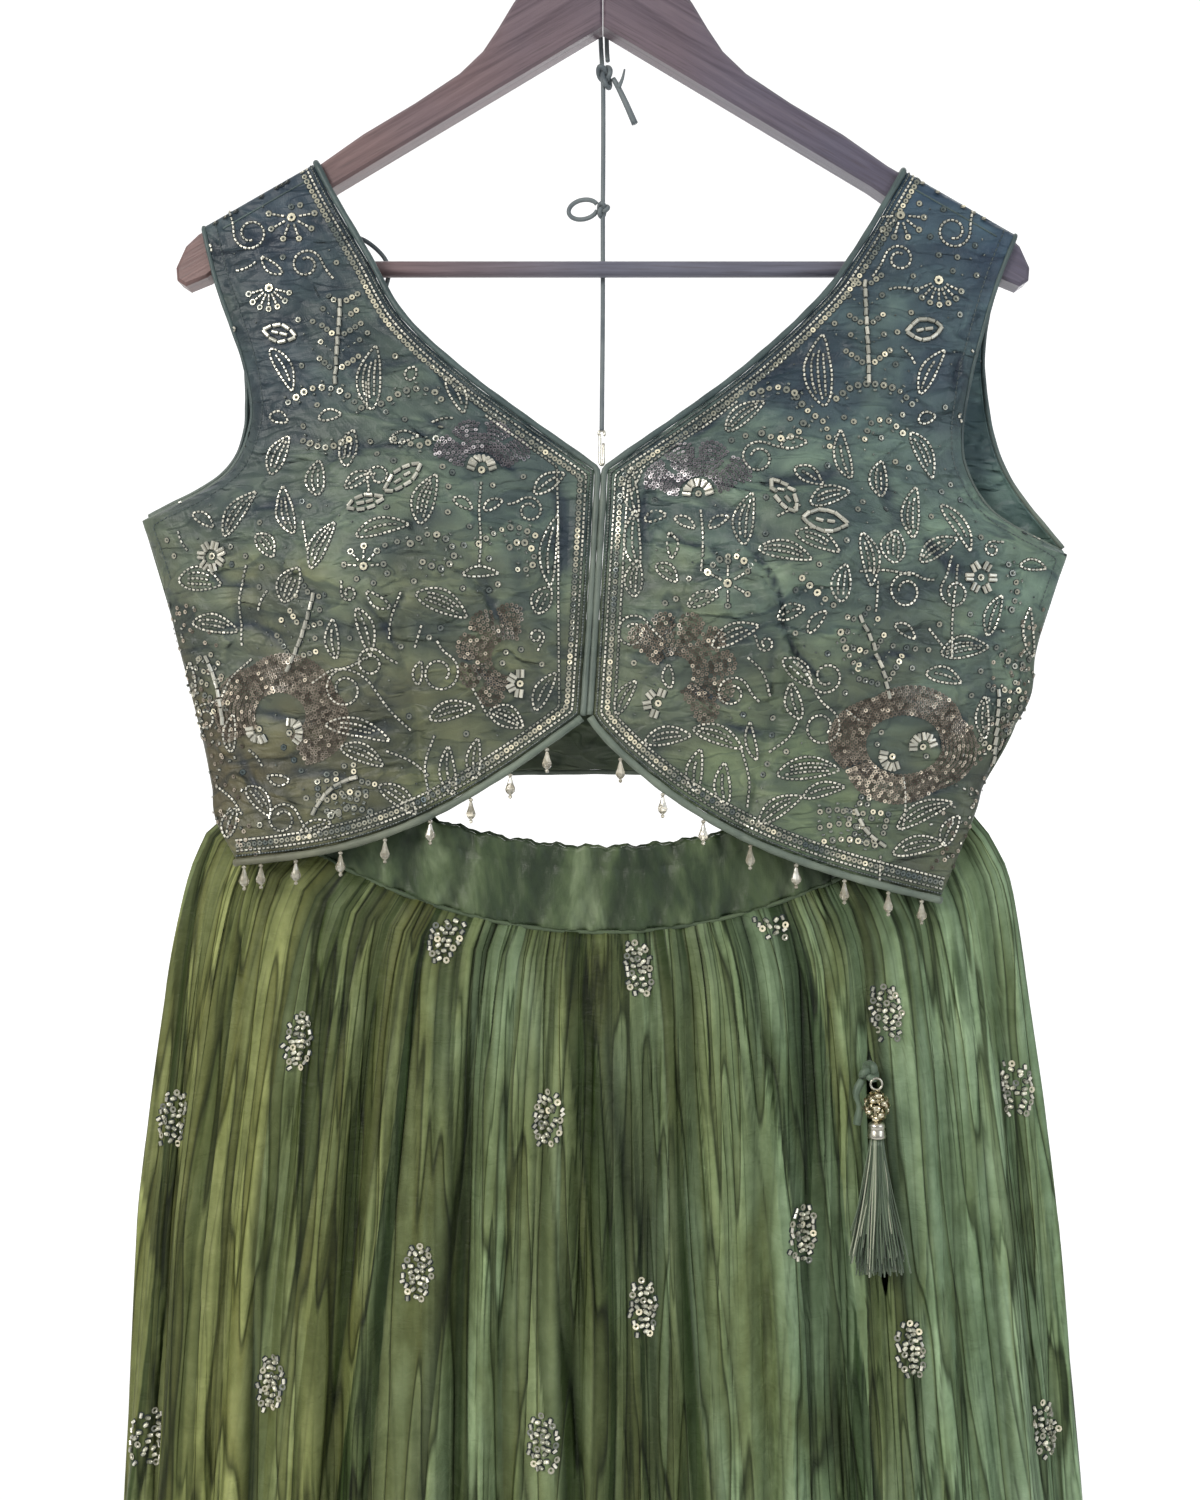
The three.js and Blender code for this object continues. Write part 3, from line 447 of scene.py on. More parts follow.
class Surface:
    """A Principled material and short ways to add the nodes that feed it."""

    def __init__(self, name, roughness=0.5, metallic=0.0, **sockets):
        self.material = bpy.data.materials.new(name)
        self.material.use_nodes = True
        self.tree = self.material.node_tree
        self.shader = self.tree.nodes["Principled BSDF"]
        self.shader.inputs["Roughness"].default_value = roughness
        self.shader.inputs["Metallic"].default_value = metallic
        for socket, value in sockets.items():
            self.shader.inputs[socket.replace("_", " ")].default_value = value
        self.place = self.level("ShaderNodeTexCoord", "Object")
        self.bumps = None

    def node(self, kind, **links):
        made = self.tree.nodes.new(kind)
        for socket, value in links.items():
            self.feed(made.inputs[socket.replace("_", " ")], value)
        return made

    def level(self, kind, output, **links):
        """One output of a new node."""
        return Level(self, self.node(kind, **links).outputs[output])

    def feed(self, socket, value):
        if isinstance(value, Level):
            self.tree.links.new(value.socket, socket)
        else:
            socket.default_value = value

    def mapped(self, scale=(1, 1, 1), turn=(0, 0, 0), source=None):
        made = self.node("ShaderNodeMapping", Vector=source or self.place, Scale=scale)
        made.inputs["Rotation"].default_value = [math.radians(a) for a in turn]
        return Level(self, made.outputs["Vector"])

    def noise(self, size, detail=3.0, rough=0.5, bend=0.0, stretch=(1, 1, 1), turn=(0, 0, 0), source=None):
        """Noise whose features are about size metres, larger along an axis by its stretch."""
        place = self.mapped([1 / (size * s) for s in stretch], turn, source)
        sockets = {"Scale": 1.0, "Detail": detail, "Roughness": rough, "Distortion": bend}
        return self.level("ShaderNodeTexNoise", "Fac", Vector=place, **sockets)

    def attribute(self, name):
        made = self.node("ShaderNodeAttribute")
        made.attribute_name = name
        return Level(self, made.outputs["Fac"])

    def axis(self, name):
        return self.level("ShaderNodeSeparateXYZ", name, Vector=self.place)

    def math(self, kind, a, b=0.0):
        made = self.node("ShaderNodeMath")
        made.operation = kind
        self.feed(made.inputs[0], a)
        self.feed(made.inputs[1], b)
        return Level(self, made.outputs[0])

    def span(self, value, low, high, to_low=0.0, to_high=1.0):
        sockets = {"From Min": low, "From Max": high, "To Min": to_low, "To Max": to_high}
        return self.level("ShaderNodeMapRange", "Result", Value=value, **sockets)

    def palette(self, factor, *stops):
        """Colours along a factor. Each stop is its position, red, green and blue."""
        made = self.node("ShaderNodeValToRGB", Fac=factor)
        elements = made.color_ramp.elements
        while len(elements) < len(stops):
            elements.new(0.5)
        for element, (position, *colour) in zip(elements, stops):
            element.position = position
            element.color = (*colour, 1)
        return Level(self, made.outputs["Color"])

    def blend(self, factor, a, b, kind="MIX"):
        made = self.node("ShaderNodeMix")
        made.data_type = "RGBA"
        made.blend_type = kind
        self.feed(made.inputs[0], factor)
        for socket, value in ((6, a), (7, b)):
            self.feed(made.inputs[socket], value if isinstance(value, Level) else (*value, 1))
        return Level(self, made.outputs[2])

    def colour(self, value):
        self.feed(self.shader.inputs["Base Color"], value)

    def roughness(self, value):
        self.feed(self.shader.inputs["Roughness"], value)

    def bump(self, height, depth):
        """Relief of about depth metres, on top of the bumps added before."""
        made = self.node("ShaderNodeBump", Height=height, Distance=depth)
        if self.bumps:
            self.feed(made.inputs["Normal"], self.bumps)
        self.bumps = Level(self, made.outputs["Normal"])
        self.feed(self.shader.inputs["Normal"], self.bumps)


def weave(surface, size=0.0006, depth=0.00012):
    """A fine plain weave with slubs that run across the cloth."""
    for stretch in ((5, 5, 1), (1, 1, 5)):
        surface.bump(surface.noise(size, detail=2.0, stretch=stretch), depth)


def choli_satin(name, contrast, tint):
    """Silk satin, with uneven dye, rumpled, with painted shade and highlights along its rumples and creases. The
    contrast is how strongly the rumples show.
    """
    s = Surface(name, roughness=0.48, Sheen_Weight=0.10, Sheen_Roughness=0.35, Specular_IOR_Level=0.42)
    s.shader.inputs["Sheen Tint"].default_value = (0.7, 0.85, 0.85, 1)
    cloud = s.noise(0.075, detail=4.0, rough=0.55, bend=0.6)
    fine = s.noise(0.030, detail=2.5, rough=0.45, bend=0.3, stretch=(1.5, 1, 0.8))
    rumple = s.noise(0.036, detail=2.0, rough=0.45, bend=0.7, stretch=(1.5, 1, 0.7))
    small = s.noise(0.017, detail=2.0, rough=0.5, bend=0.6, stretch=(1.6, 1, 0.6))

    # The dye goes from navy at the shoulders to olive at the hem, bluer and greener on the wearer's left: partly the
    # dye and partly painted bluish light from that side. Low down it is browner towards the side seams.
    down = s.span(s.axis("Z"), -0.19, -0.56) + (cloud - 0.5) * 0.75
    warm = s.palette(
        down,
        (0.0, 0.032, 0.050, 0.068), (0.25, 0.042, 0.060, 0.064), (0.48, 0.108, 0.132, 0.094),
        (0.72, 0.140, 0.130, 0.066), (0.95, 0.112, 0.098, 0.044),
    )
    cool = s.palette(
        down,
        (0.0, 0.038, 0.072, 0.118), (0.25, 0.058, 0.096, 0.112), (0.48, 0.138, 0.205, 0.168),
        (0.72, 0.112, 0.154, 0.108), (0.95, 0.138, 0.212, 0.124),
    )
    # Blotches of painted satin shade and light over the dye's mottle: navy where shaded, pale sage where lit.
    patches = s.palette(fine, (0.32, 0.42, 0.47, 0.54), (0.46, 0.78, 0.80, 0.81), (0.66, 1.28, 1.29, 1.18))
    surface_colour = s.blend(1.0, s.blend(s.span(s.axis("X"), -0.24, 0.24), warm, cool), tint, "MULTIPLY")
    surface_colour = s.blend(0.88 * contrast, surface_colour, patches, "MULTIPLY")
    at_seam = s.span(s.math("ABSOLUTE", s.axis("X")), 0.09, 0.2) * s.span(s.axis("Z"), -0.40, -0.5)
    surface_colour = s.blend(at_seam * s.span(cloud, 0.35, 0.6, 0.2, 0.75), surface_colour, (0.086, 0.062, 0.034))

    # Painted shade and highlight: a rumple or crease is drawn as a dark line of shade with a lighter line of highlight
    # beside it.
    edges = s.palette(
        rumple,
        (0.40, 1.0, 1.0, 1.0), (0.478, 0.50, 0.56, 0.66), (0.495, 0.58, 0.64, 0.72),
        (0.515, 1.28, 1.28, 1.22), (0.62, 1.0, 1.0, 1.0),
    )
    creases = s.palette(
        small,
        (0.40, 1.0, 1.0, 1.0), (0.475, 0.66, 0.70, 0.76), (0.495, 0.74, 0.78, 0.82),
        (0.520, 1.24, 1.24, 1.20), (0.62, 1.0, 1.0, 1.0),
    )
    broken = s.span(s.noise(0.06, detail=1.0), 0.40, 0.56, 0.15 * contrast, 0.85 * contrast)
    surface_colour = s.blend(broken, surface_colour, edges, "MULTIPLY")
    surface_colour = s.blend(s.span(broken, 0.0, 1.0, 0.75 * contrast, 0.35), surface_colour, creases, "MULTIPLY")
    # Painted shade in the crease troughs, and painted shadow round the embroidery.
    shade = s.attribute("trough") * 0.85 + s.attribute("near_embroidery") * 0.25
    s.colour(s.blend(s.math("MINIMUM", shade, 0.85), surface_colour, (0.014, 0.025, 0.042)))
    s.roughness(s.span(fine, 0.3, 0.8, 0.42, 0.6))

    s.bump(s.span(rumple, 0.45, 0.54), 0.0014)
    s.bump(s.span(small, 0.44, 0.55), 0.0007)
    s.bump(s.noise(0.020, detail=2.0, rough=0.45, bend=0.5, stretch=(1.6, 1, 0.7)), 0.0036)
    s.bump(s.noise(0.005, detail=3.0) * s.attribute("near_embroidery"), 0.0016)
    weave(s)
    return s.material


def crushed_silk():
    """Silk with fine upright crinkles, olive at one side and sea green at the other, with painted shade and highlights
    along its folds.
    """
    s = Surface("crushed silk", roughness=0.55, Specular_IOR_Level=0.2)
    side = s.span(s.axis("X"), -0.24, 0.26)
    cloud = s.noise(0.05, detail=3.0, rough=0.5, bend=0.5, stretch=(0.7, 0.7, 2.4))
    mottle = s.noise(0.011, detail=3.0, rough=0.6, bend=0.3, stretch=(0.8, 0.8, 1.3))
    depth_of_dye = cloud * 0.8 + mottle * 0.45 - 0.12
    warm = s.palette(
        depth_of_dye,
        (0.30, 0.096, 0.110, 0.042), (0.44, 0.136, 0.158, 0.064),
        (0.58, 0.184, 0.210, 0.092), (0.74, 0.240, 0.266, 0.130),
    )
    cool = s.palette(
        depth_of_dye,
        (0.30, 0.082, 0.120, 0.064), (0.44, 0.120, 0.174, 0.104),
        (0.58, 0.170, 0.236, 0.152), (0.74, 0.234, 0.312, 0.214),
    )
    across = s.palette(
        side,
        (0.04, 1.1, 1.08, 1.0), (0.28, 0.92, 0.90, 0.84), (0.50, 0.90, 0.90, 0.84),
        (0.72, 1.0, 1.02, 1.0), (0.90, 1.15, 1.18, 1.20),
    )
    shaded = s.palette(
        s.attribute("shade"),
        (0.0, 1.40, 1.39, 1.34), (0.4, 0.82, 0.84, 0.77), (1.0, 0.18, 0.24, 0.14),
    )
    hue = s.attribute("hue") + (side - 0.45) * 0.9
    surface_colour = s.blend(s.span(hue + (cloud - 0.5), 0.15, 0.85), warm, cool)
    surface_colour = s.blend(1.0, surface_colour, across, "MULTIPLY")
    surface_colour = s.blend(1.0, surface_colour, shaded, "MULTIPLY")

    # The crinkles run down the cloth, so they are laid out by its way round and its height.
    cloth = s.level("ShaderNodeCombineXYZ", "Vector", X=s.attribute("round"), Z=s.axis("Z"))
    bunch = s.span(s.noise(0.035, detail=1.0, stretch=(1, 1, 5), source=cloth), 0.42, 0.56)
    folds = s.noise(0.0100, detail=1.0, rough=0.35, stretch=(1, 1, 17), source=cloth)
    crinkles = s.noise(0.0044, detail=1.0, rough=0.3, stretch=(1, 1, 28), source=cloth)
    # Painted shade and highlight: each fold and crinkle line is a dark line of shade with a bright ridge of highlight
    # beside it.
    strips = s.palette(
        folds,
        (0.38, 0.90, 0.90, 0.86), (0.460, 0.70, 0.67, 0.53), (0.487, 0.15, 0.16, 0.09),
        (0.508, 1.26, 1.24, 1.16), (0.60, 1.06, 1.05, 1.02),
    )
    lines = s.palette(
        crinkles,
        (0.40, 0.95, 0.95, 0.92), (0.455, 0.72, 0.73, 0.66), (0.487, 0.24, 0.28, 0.20),
        (0.520, 1.14, 1.13, 1.08), (0.60, 1.0, 1.0, 1.0),
    )
    surface_colour = s.blend(0.9, surface_colour, strips, "MULTIPLY")
    surface_colour = s.blend(bunch * 0.85 + 0.08, surface_colour, lines, "MULTIPLY")
    # Painted shade along the fold lines, from the trough paint.
    s.colour(s.blend(s.attribute("trough") * 0.92, surface_colour, (0.004, 0.008, 0.003)))
    s.bump(s.span(folds, 0.46, 0.53), 0.0011)
    s.bump(s.span(crinkles, 0.46, 0.54) * bunch, 0.0006)
    s.bump(s.noise(0.012, detail=4.0, rough=0.6, bend=0.6, stretch=(1.6, 1, 0.8)), 0.0016)
    weave(s, size=0.0005, depth=0.00008)
    return s.material


def band_satin():
    sheen = {"Sheen_Weight": 0.08, "Sheen_Roughness": 0.3}
    s = Surface("waistband satin", roughness=0.46, Specular_IOR_Level=0.4, **sheen)
    # Painted sheen: the brightest stop, on noise drawn out upright, gives light satin streaks over the dye.
    surface_colour = s.palette(
        s.noise(0.045, detail=4.0, rough=0.6, bend=0.6, stretch=(0.6, 1, 1.5)),
        (0.32, 0.014, 0.027, 0.011), (0.46, 0.036, 0.060, 0.024),
        (0.58, 0.076, 0.110, 0.048), (0.70, 0.165, 0.215, 0.115),
    )
    # Painted shade in the hollows of the puckers.
    s.colour(s.blend(s.span(s.attribute("trough"), 0, 1) * 0.7, surface_colour, (0.012, 0.020, 0.012)))
    s.bump(s.noise(0.006, detail=3.0, stretch=(1, 1, 3)), 0.0009)
    weave(s)
    return s.material


def bias_satin(name, low, high, roughness, change=None):
    """Piping and rouleau: satin cut on the bias, so its threads run aslant. It may change along an axis."""
    s = Surface(name, roughness=roughness, Sheen_Weight=0.2, Sheen_Roughness=0.35)
    aslant = (0, 45, 0)
    cloud = s.noise(0.02, detail=4.0, rough=0.6)
    surface_colour = s.palette(cloud, (0.32, *low), (0.68, *high))
    if change:
        axis, start, end, low, high = change
        surface_colour = s.blend(s.span(s.axis(axis), start, end), surface_colour, s.palette(cloud, (0.32, *low), (0.68, *high)))
    s.colour(surface_colour)
    s.roughness(s.span(cloud, 0.3, 0.7, roughness - 0.06, roughness + 0.08))
    s.bump(s.noise(0.0016, detail=2.0, stretch=(1, 1, 6), turn=aslant), 0.0003)
    s.bump(s.noise(0.0006, detail=2.0, stretch=(6, 1, 1), turn=aslant), 0.0001)
    return s.material


def silk_thread():
    s = Surface("tassel silk", roughness=0.34, Sheen_Weight=0.3, Sheen_Roughness=0.3)
    surface_colour = s.palette(
        s.attribute("tone"),
        (0.0, 0.040, 0.062, 0.036), (0.55, 0.096, 0.136, 0.086),
        (0.85, 0.180, 0.230, 0.150), (1.0, 0.460, 0.480, 0.360),
    )
    s.colour(surface_colour)
    s.bump(s.noise(0.0008, detail=2.0, stretch=(1, 1, 12)), 0.0001)
    return s.material


def hanger_wood(name, tilt, plum_painted_shade, start, end, clouded):
    """Stained hardwood with a satin lacquer. Across the hanger it turns from brown at start to purplish at end: the
    brown is the wood's stain and the purplish end is painted shade and bluish light from that side.

    The grain runs at tilt degrees along each arm.
    """
    s = Surface(name, roughness=0.42, Coat_Weight=0.25, Coat_Roughness=0.3)
    mirrored = {"X": s.math("ABSOLUTE", s.axis("X")), "Y": s.axis("Y"), "Z": s.axis("Z")}
    lengthways = s.mapped(turn=(0, tilt, 0), source=s.level("ShaderNodeCombineXYZ", "Vector", **mirrored))
    grain = s.noise(0.0032, detail=5.0, rough=0.62, bend=0.5, stretch=(26, 1, 1), source=lengthways)
    pores = s.noise(0.0009, detail=2.0, stretch=(22, 1, 1), source=lengthways)
    side = s.span(s.axis("X"), start, end)
    if clouded:
        side = side + (s.noise(0.06, detail=3.0) - 0.5) * 0.5
    # Painted shade and bluish light: the purplish palette takes over towards end.
    stain_and_painted_light = s.blend(side, s.palette(grain, *BROWN), s.palette(grain, *plum_painted_shade))
    s.colour(s.blend(s.span(pores, 0.55, 0.75, 0.0, 0.5), stain_and_painted_light, (0.055, 0.040, 0.040)))
    s.roughness(s.span(grain, 0.3, 0.7, 0.36, 0.5))
    s.bump(grain, 0.0003)
    s.bump(pores, 0.0001)
    return s.material


def metal(name, colour, roughness):
    s = Surface(name, roughness=roughness, metallic=1.0)
    scuffs = s.noise(0.002, detail=4.0, stretch=(6, 1, 1))
    s.colour(s.palette(scuffs, (0.3, *(c * 0.82 for c in colour)), (0.7, *colour)))
    s.roughness(s.span(scuffs, 0.3, 0.7, roughness - 0.06, roughness + 0.1))
    s.bump(scuffs, 0.00005)
    return s.material


def bead_glass(name, dark, light, roughness, metallic, coat=0.5, middle=0.75):
    """Small glass beads or sequins, each a little darker or brighter than the next."""
    s = Surface(name, roughness=roughness, metallic=metallic, Coat_Weight=coat, Coat_Roughness=0.12)
    dull, bright = ([mix(d, l, share) for d, l in zip(dark, light)] for share in (middle * 0.5, middle))
    s.colour(s.palette(s.attribute("tone"), (0.0, *dark), (0.5, *dull), (0.82, *bright), (1.0, *light)))
    s.bump(s.noise(0.0007, detail=1.0), 0.00008)
    return s.material


def crystal():
    s = Surface("crystal", roughness=0.06, Transmission_Weight=0.6, IOR=1.6, Coat_Weight=0.6)
    s.colour(s.palette(s.noise(0.004), (0.35, 0.50, 0.45, 0.34), (0.65, 0.90, 0.86, 0.74)))
    s.bump(s.noise(0.003, detail=1.0), 0.0001)
    return s.material


BROWN = ((0.32, 0.112, 0.060, 0.056), (0.5, 0.170, 0.096, 0.088), (0.7, 0.225, 0.132, 0.120))
# Purplish grain colours that paint shade and bluish light on the wearer's left of the hanger.
ARM_PLUM_PAINTED_SHADE = ((0.32, 0.066, 0.058, 0.086), (0.5, 0.100, 0.088, 0.126), (0.7, 0.135, 0.120, 0.160))
BAR_PLUM_PAINTED_SHADE = ((0.32, 0.080, 0.080, 0.108), (0.5, 0.118, 0.118, 0.156), (0.7, 0.160, 0.160, 0.208))
LOOK = {
    "choli": choli_satin("choli silk satin", 1.0, (1.0, 1.0, 1.0)),
    # The back's copy is tinted bluer, which paints bluish light on the inside of the back, and its rumples show half
    # as strongly.
    "choli_back": choli_satin("choli back silk satin", 0.5, (0.98, 1.06, 1.16)),
    "skirt": crushed_silk(),
    "band": band_satin(),
    "piping": bias_satin(
        "piping satin",
        (0.090, 0.118, 0.094),
        (0.175, 0.212, 0.164),
        0.52,
        change=("X", -0.05, -0.2, (0.086, 0.084, 0.050), (0.175, 0.168, 0.108)),
    ),
    "edge": bias_satin(
        "edge piping satin",
        (0.036, 0.058, 0.060),
        (0.080, 0.118, 0.112),
        0.5,
        change=("Z", -0.325, -0.36, (0.088, 0.114, 0.094), (0.165, 0.200, 0.166)),
    ),
    "seam": bias_satin("seam piping satin", (0.036, 0.058, 0.028), (0.085, 0.120, 0.060), 0.58),
    "rouleau": bias_satin("rouleau cord", (0.085, 0.105, 0.120), (0.170, 0.195, 0.200), 0.55),
    "thread": bias_satin("sewing thread", (0.040, 0.060, 0.062), (0.085, 0.110, 0.110), 0.6),
    # Dark patches of thread and painted shadow under the beads.
    "shadow": bias_satin("bead thread and painted shadow", (0.010, 0.018, 0.020), (0.028, 0.040, 0.042), 0.8),
    "tie": bias_satin("skirt rouleau", (0.062, 0.096, 0.062), (0.150, 0.205, 0.140), 0.5),
    "silk": silk_thread(),
    "wood": hanger_wood("hanger wood", -30, ARM_PLUM_PAINTED_SHADE, -0.2, 0.12, clouded=True),
    "bar": hanger_wood("hanger bar wood", 0, BAR_PLUM_PAINTED_SHADE, -0.15, 0.0, clouded=False),
    "steel": metal("hook steel", (0.70, 0.71, 0.73), 0.24),
    "antique": metal("antique silver", (0.66, 0.63, 0.54), 0.28),
    "gilt": metal("gilt beads", (0.78, 0.70, 0.50), 0.22),
    "bugle": bead_glass("cut glass bugles", (0.15, 0.16, 0.135), (1.0, 0.96, 0.82), 0.2, 0.15),
    "seedlight": bead_glass("silver-lined beads", (0.13, 0.14, 0.10), (0.90, 0.88, 0.70), 0.18, 0.3),
    "seed": bead_glass("seed beads", (0.05, 0.065, 0.065), (0.34, 0.36, 0.30), 0.16, 0.2),
    "bronze": bead_glass("bronze sequins", (0.058, 0.044, 0.032), (0.80, 0.70, 0.56), 0.3, 0.3, 0.3),
    "mauve": bead_glass("mauve sequins", (0.080, 0.072, 0.086), (0.80, 0.74, 0.76), 0.22, 0.3, 0.4, 0.4),
    "sequin": bead_glass("clear sequins", (0.07, 0.095, 0.095), (1.0, 0.92, 0.68), 0.18, 0.25, 0.5, 0.42),
    "crystal": crystal(),
}


# ---------- the cord that holds up the V ----------
CORD_RADIUS = 1.2 * MM
TAIL = spots((5.4, 134.5, 6.6), (8.2, 139.6, 6.3), (12.4, 148.5, 6), (16.8, 158.5, 6))
SPUR = spots((8.2, 139.8, 5.4), (10.2, 135.4, 4.8), (11.4, 130.4, 4.6))
BAR = {"down": 236.5, "radius": 4.2, "half": 186}

# Across, down and back from the hook at the V, up behind the bar and through the loop's knot to the upper
# knot. From there a noose goes up behind the wood, round the hook's shank and down again to that knot.
NECK_CORD = spots(
    (-0.6, 323.7, -17.3),
    (-0.5, 312, -16.5),
    (-0.3, 290, -10),
    (-0.1, 268, -2.5),
    (0, 248, 4),
    (0, 236.5, 6),
    (0, 223, 6),
    (0, 203.5, 5.8),
    (0.2, 175, 6),
    (0.2, 142, 6.5),
    (-0.2, 131, 7.2),
    (-0.95, 117, 9.5),
    (-1.9, 95, 9.5),
    (-3.2, 72, 9.5),
    (-3.8, 64, 10.1),
    (-4.4, 59.4, 9.1),
    (-5, 58.6, 5.5),
    (-5.6, 59.8, 1),
    (0, 59.8, -4.9),
    (5.6, 59.8, 1),
    (5, 58.6, 5.5),
    (4.4, 59.4, 9.1),
    (3.8, 64, 10.1),
    (3.2, 72, 9.5),
    (1.9, 95, 9.5),
    (2.15, 117, 9.5),
    (2.55, 125.1, 7.4),
)
UPPER_KNOT = (1.3, 133, 6.5)
LOOP_KNOT = (0, 203.5, 5.8)


def overhand_knot(centre, wide, thick, tall, turn=0.0):
    """A tied knot's line: a trefoil, drawn long in the cord's direction."""
    t = np.linspace(0, 2 * math.pi, 56)
    x = (np.sin(t) + 2 * np.sin(2 * t)) / 3
    y = -np.sin(3 * t)
    z = (np.cos(t) - 2 * np.cos(2 * t)) / 3
    inset = CORD_RADIUS / MM
    shape = np.stack([x * (wide - inset), y * (thick - inset) * 0.8, z * (tall - inset)], axis=1)
    c, s = math.cos(turn), math.sin(turn)
    shape[:, [0, 2]] = shape[:, [0, 2]] @ np.array([[c, s], [-s, c]])
    return np.array(spot(*centre)) + shape * MM


def declare_cord(piece, line, far_end, with_pieces=()):
    """States a limp cord that hangs along a line of points."""
    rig.cord(
        piece,
        exit=tuple(line[0]),
        length=length_of(line),
        diameter=2 * CORD_RADIUS,
        far_end=far_end,
        stiffness="limp",
        lay="hanging",
        path=[tuple(p) for p in line],
        with_pieces=with_pieces,
    )


def loop_bow(centre, half_wide=7.6, half_tall=5.1, lean=0.14):
    """The line of the small loop that stands out from its knot, to the wearer's right."""
    _, down, back = centre
    rows = []
    for angle in np.linspace(0.12 * math.pi, 1.9 * math.pi, 40):
        out = half_wide * math.cos(angle)
        rows.append((-10.3 + out, down - half_tall * math.sin(angle) - lean * out, back))
    return spots(*rows)


def v_hook():
    """The line of the metal hook on the cord's end: a bent wire with its two shanks side by side."""
    centre, top, foot, back = -0.6, 323.5, 341.2, -17.3
    bend = 1.5
    turns = np.linspace(-0.9, 4.0, 12)
    eye = [(centre + bend * math.cos(a), top + bend - bend * math.sin(a), back) for a in turns]
    shanks = [
        (centre - 0.9, top + 6, back),
        (centre - 1.0, foot - 4, back),
        (centre - 0.9, foot - 1, back - 0.2),
        (centre, foot, back - 0.4),
        (centre + 0.9, foot - 1, back - 0.2),
        (centre + 1.0, foot - 5, back),
        (centre + 0.9, top + 6.5, back),
    ]
    return smooth_line(spots(*eye, *shanks), per_span=4)


def neck_cord_pieces():
    line = smooth_line(NECK_CORD, step=1.6 * MM)
    upper_line = overhand_knot(UPPER_KNOT, 4.6, 4.0, 7.8, 0.25)
    loop_line = overhand_knot(LOOP_KNOT, 3.8, 3.4, 5.0, -0.3)
    tail, spur = smooth_line(TAIL, per_span=6), smooth_line(SPUR, per_span=5)
    look = slot = "rouleau"
    nodes = ("cord_lower", "cord_upper", "cord_noose")
    cord = cord_piece("neck_cord", line, CORD_RADIUS, look, slot, *nodes, sides=12)
    hung = [
        cord_piece("neck_cord_upper_knot", upper_line, CORD_RADIUS * 1.1, look, slot, "cord_knot"),
        cord_piece("neck_cord_loop_knot", loop_line, CORD_RADIUS, look, slot, "cord_loop_knot"),
        cord_piece("neck_cord_loop", loop_bow(LOOP_KNOT), CORD_RADIUS, look, slot, "cord_loop"),
        cord_piece("neck_cord_tail", tail, np.linspace(1.3, 1.75, len(tail)) * MM, look, slot, "cord_tail"),
        cord_piece("neck_cord_spur", spur, np.linspace(1.2, 0.5, len(spur)) * MM, look, slot),
        cord_piece("neck_cord_hook", v_hook(), 0.75 * MM, "antique", "steel", "cord_hook", sides=8),
    ]
    declare_cord(cord, line, "knot", hung)


neck_cord_pieces()


# ---------- the tie at the skirt's left slit ----------
TASSEL = {"across": 137.4, "back": -32.5}
TIE_CORD = spots(
    (129.3, 562, -3),
    (132.3, 590, -5.5),
    (135.3, 618, -8),
    (137.3, 640, -9.2),
    (137.3, 652, -12.5),
    (137.3, 655.5, -18),
    (135.3, 651, -23),
)
TIE_KNOT = (134.5, 649.3, -27.5)
TIE_TAIL = spots((130.6, 653, -28), (127.6, 660, -29.2), (129.2, 667, -29.6), (127.8, 675.4, -29.5))
JUMP_RING = {"down": 654.6, "back": -31.5, "radius": 2.9, "wire": 0.6}


def closed_ring(name, line, radius, material, sides=8):
    """A ring of wire, whose line comes back to its start."""
    tangent = unit(np.roll(line, -1, axis=0) - np.roll(line, 1, axis=0))
    side = unit(line - line.mean(axis=0))
    faces = grid_faces(len(line), sides, round_columns=True, round_rows=True)[:, [0, 3, 2, 1]]
    return mesh_object(name, ring_points(line, side, tangent, radius, sides), [faces], material)


def jump_ring():
    radius = JUMP_RING["radius"]
    rows = []
    for a in circle(32):
        down = JUMP_RING["down"] - radius * math.sin(a)
        rows.append((TASSEL["across"] + radius * math.cos(a), down, JUMP_RING["back"]))
    made = closed_ring("tassel_jump_ring", spots(*rows), JUMP_RING["wire"] * MM, LOOK["antique"])
    return finish_piece(made, "steel", "tassel_ring")


look, slot = "tie", "crushed_silk"
tie_line = smooth_line(TIE_CORD, step=1.5 * MM)
tie_cord = cord_piece("tie_cord_rouleau", tie_line, CORD_RADIUS, look, slot, "tie_cord", sides=12)
knot_line = overhand_knot(TIE_KNOT, 5.2, 4.6, 5.0, 0.9)
stub_line = smooth_line(TIE_TAIL)
stub_width = (1.7 + 0.35 * np.sin(np.linspace(0, 9, len(stub_line)))) * MM
on_the_tie = [
    cord_piece("tie_rouleau_knot", knot_line, 1.9 * MM, look, slot, "tie_knot"),
    cord_piece("tie_rouleau_tail", stub_line, stub_width, look, slot, "tie_tail"),
    jump_ring(),
]


# ---------- hanger ----------
HOOK = {"wire": 1.75, "radius": 21}
SHANK = ((0, 61, 0), (0, 54, 0), (1.5, 49, 0), (8, 43.5, 0))
HOOK_TIP = (0.97, 0.85, 0.55)  # how the wire's end narrows


def dress(node, material):
    """A CAD node keeps its shape and takes a finished material."""
    data = frame["nodes"][node].data
    data.materials.clear()
    data.materials.append(material)


for side in SIGNS:
    dress(f"hanger_arm_{side}", LOOK["wood"])

bar_line = spots(*((x, BAR["down"], 0) for x in np.linspace(-1, 1, 40) * BAR["half"]))
cord_piece("hanger_round_bar", bar_line, BAR["radius"] * MM, "bar", "hanger_wood", "hanger_bar", sides=36)

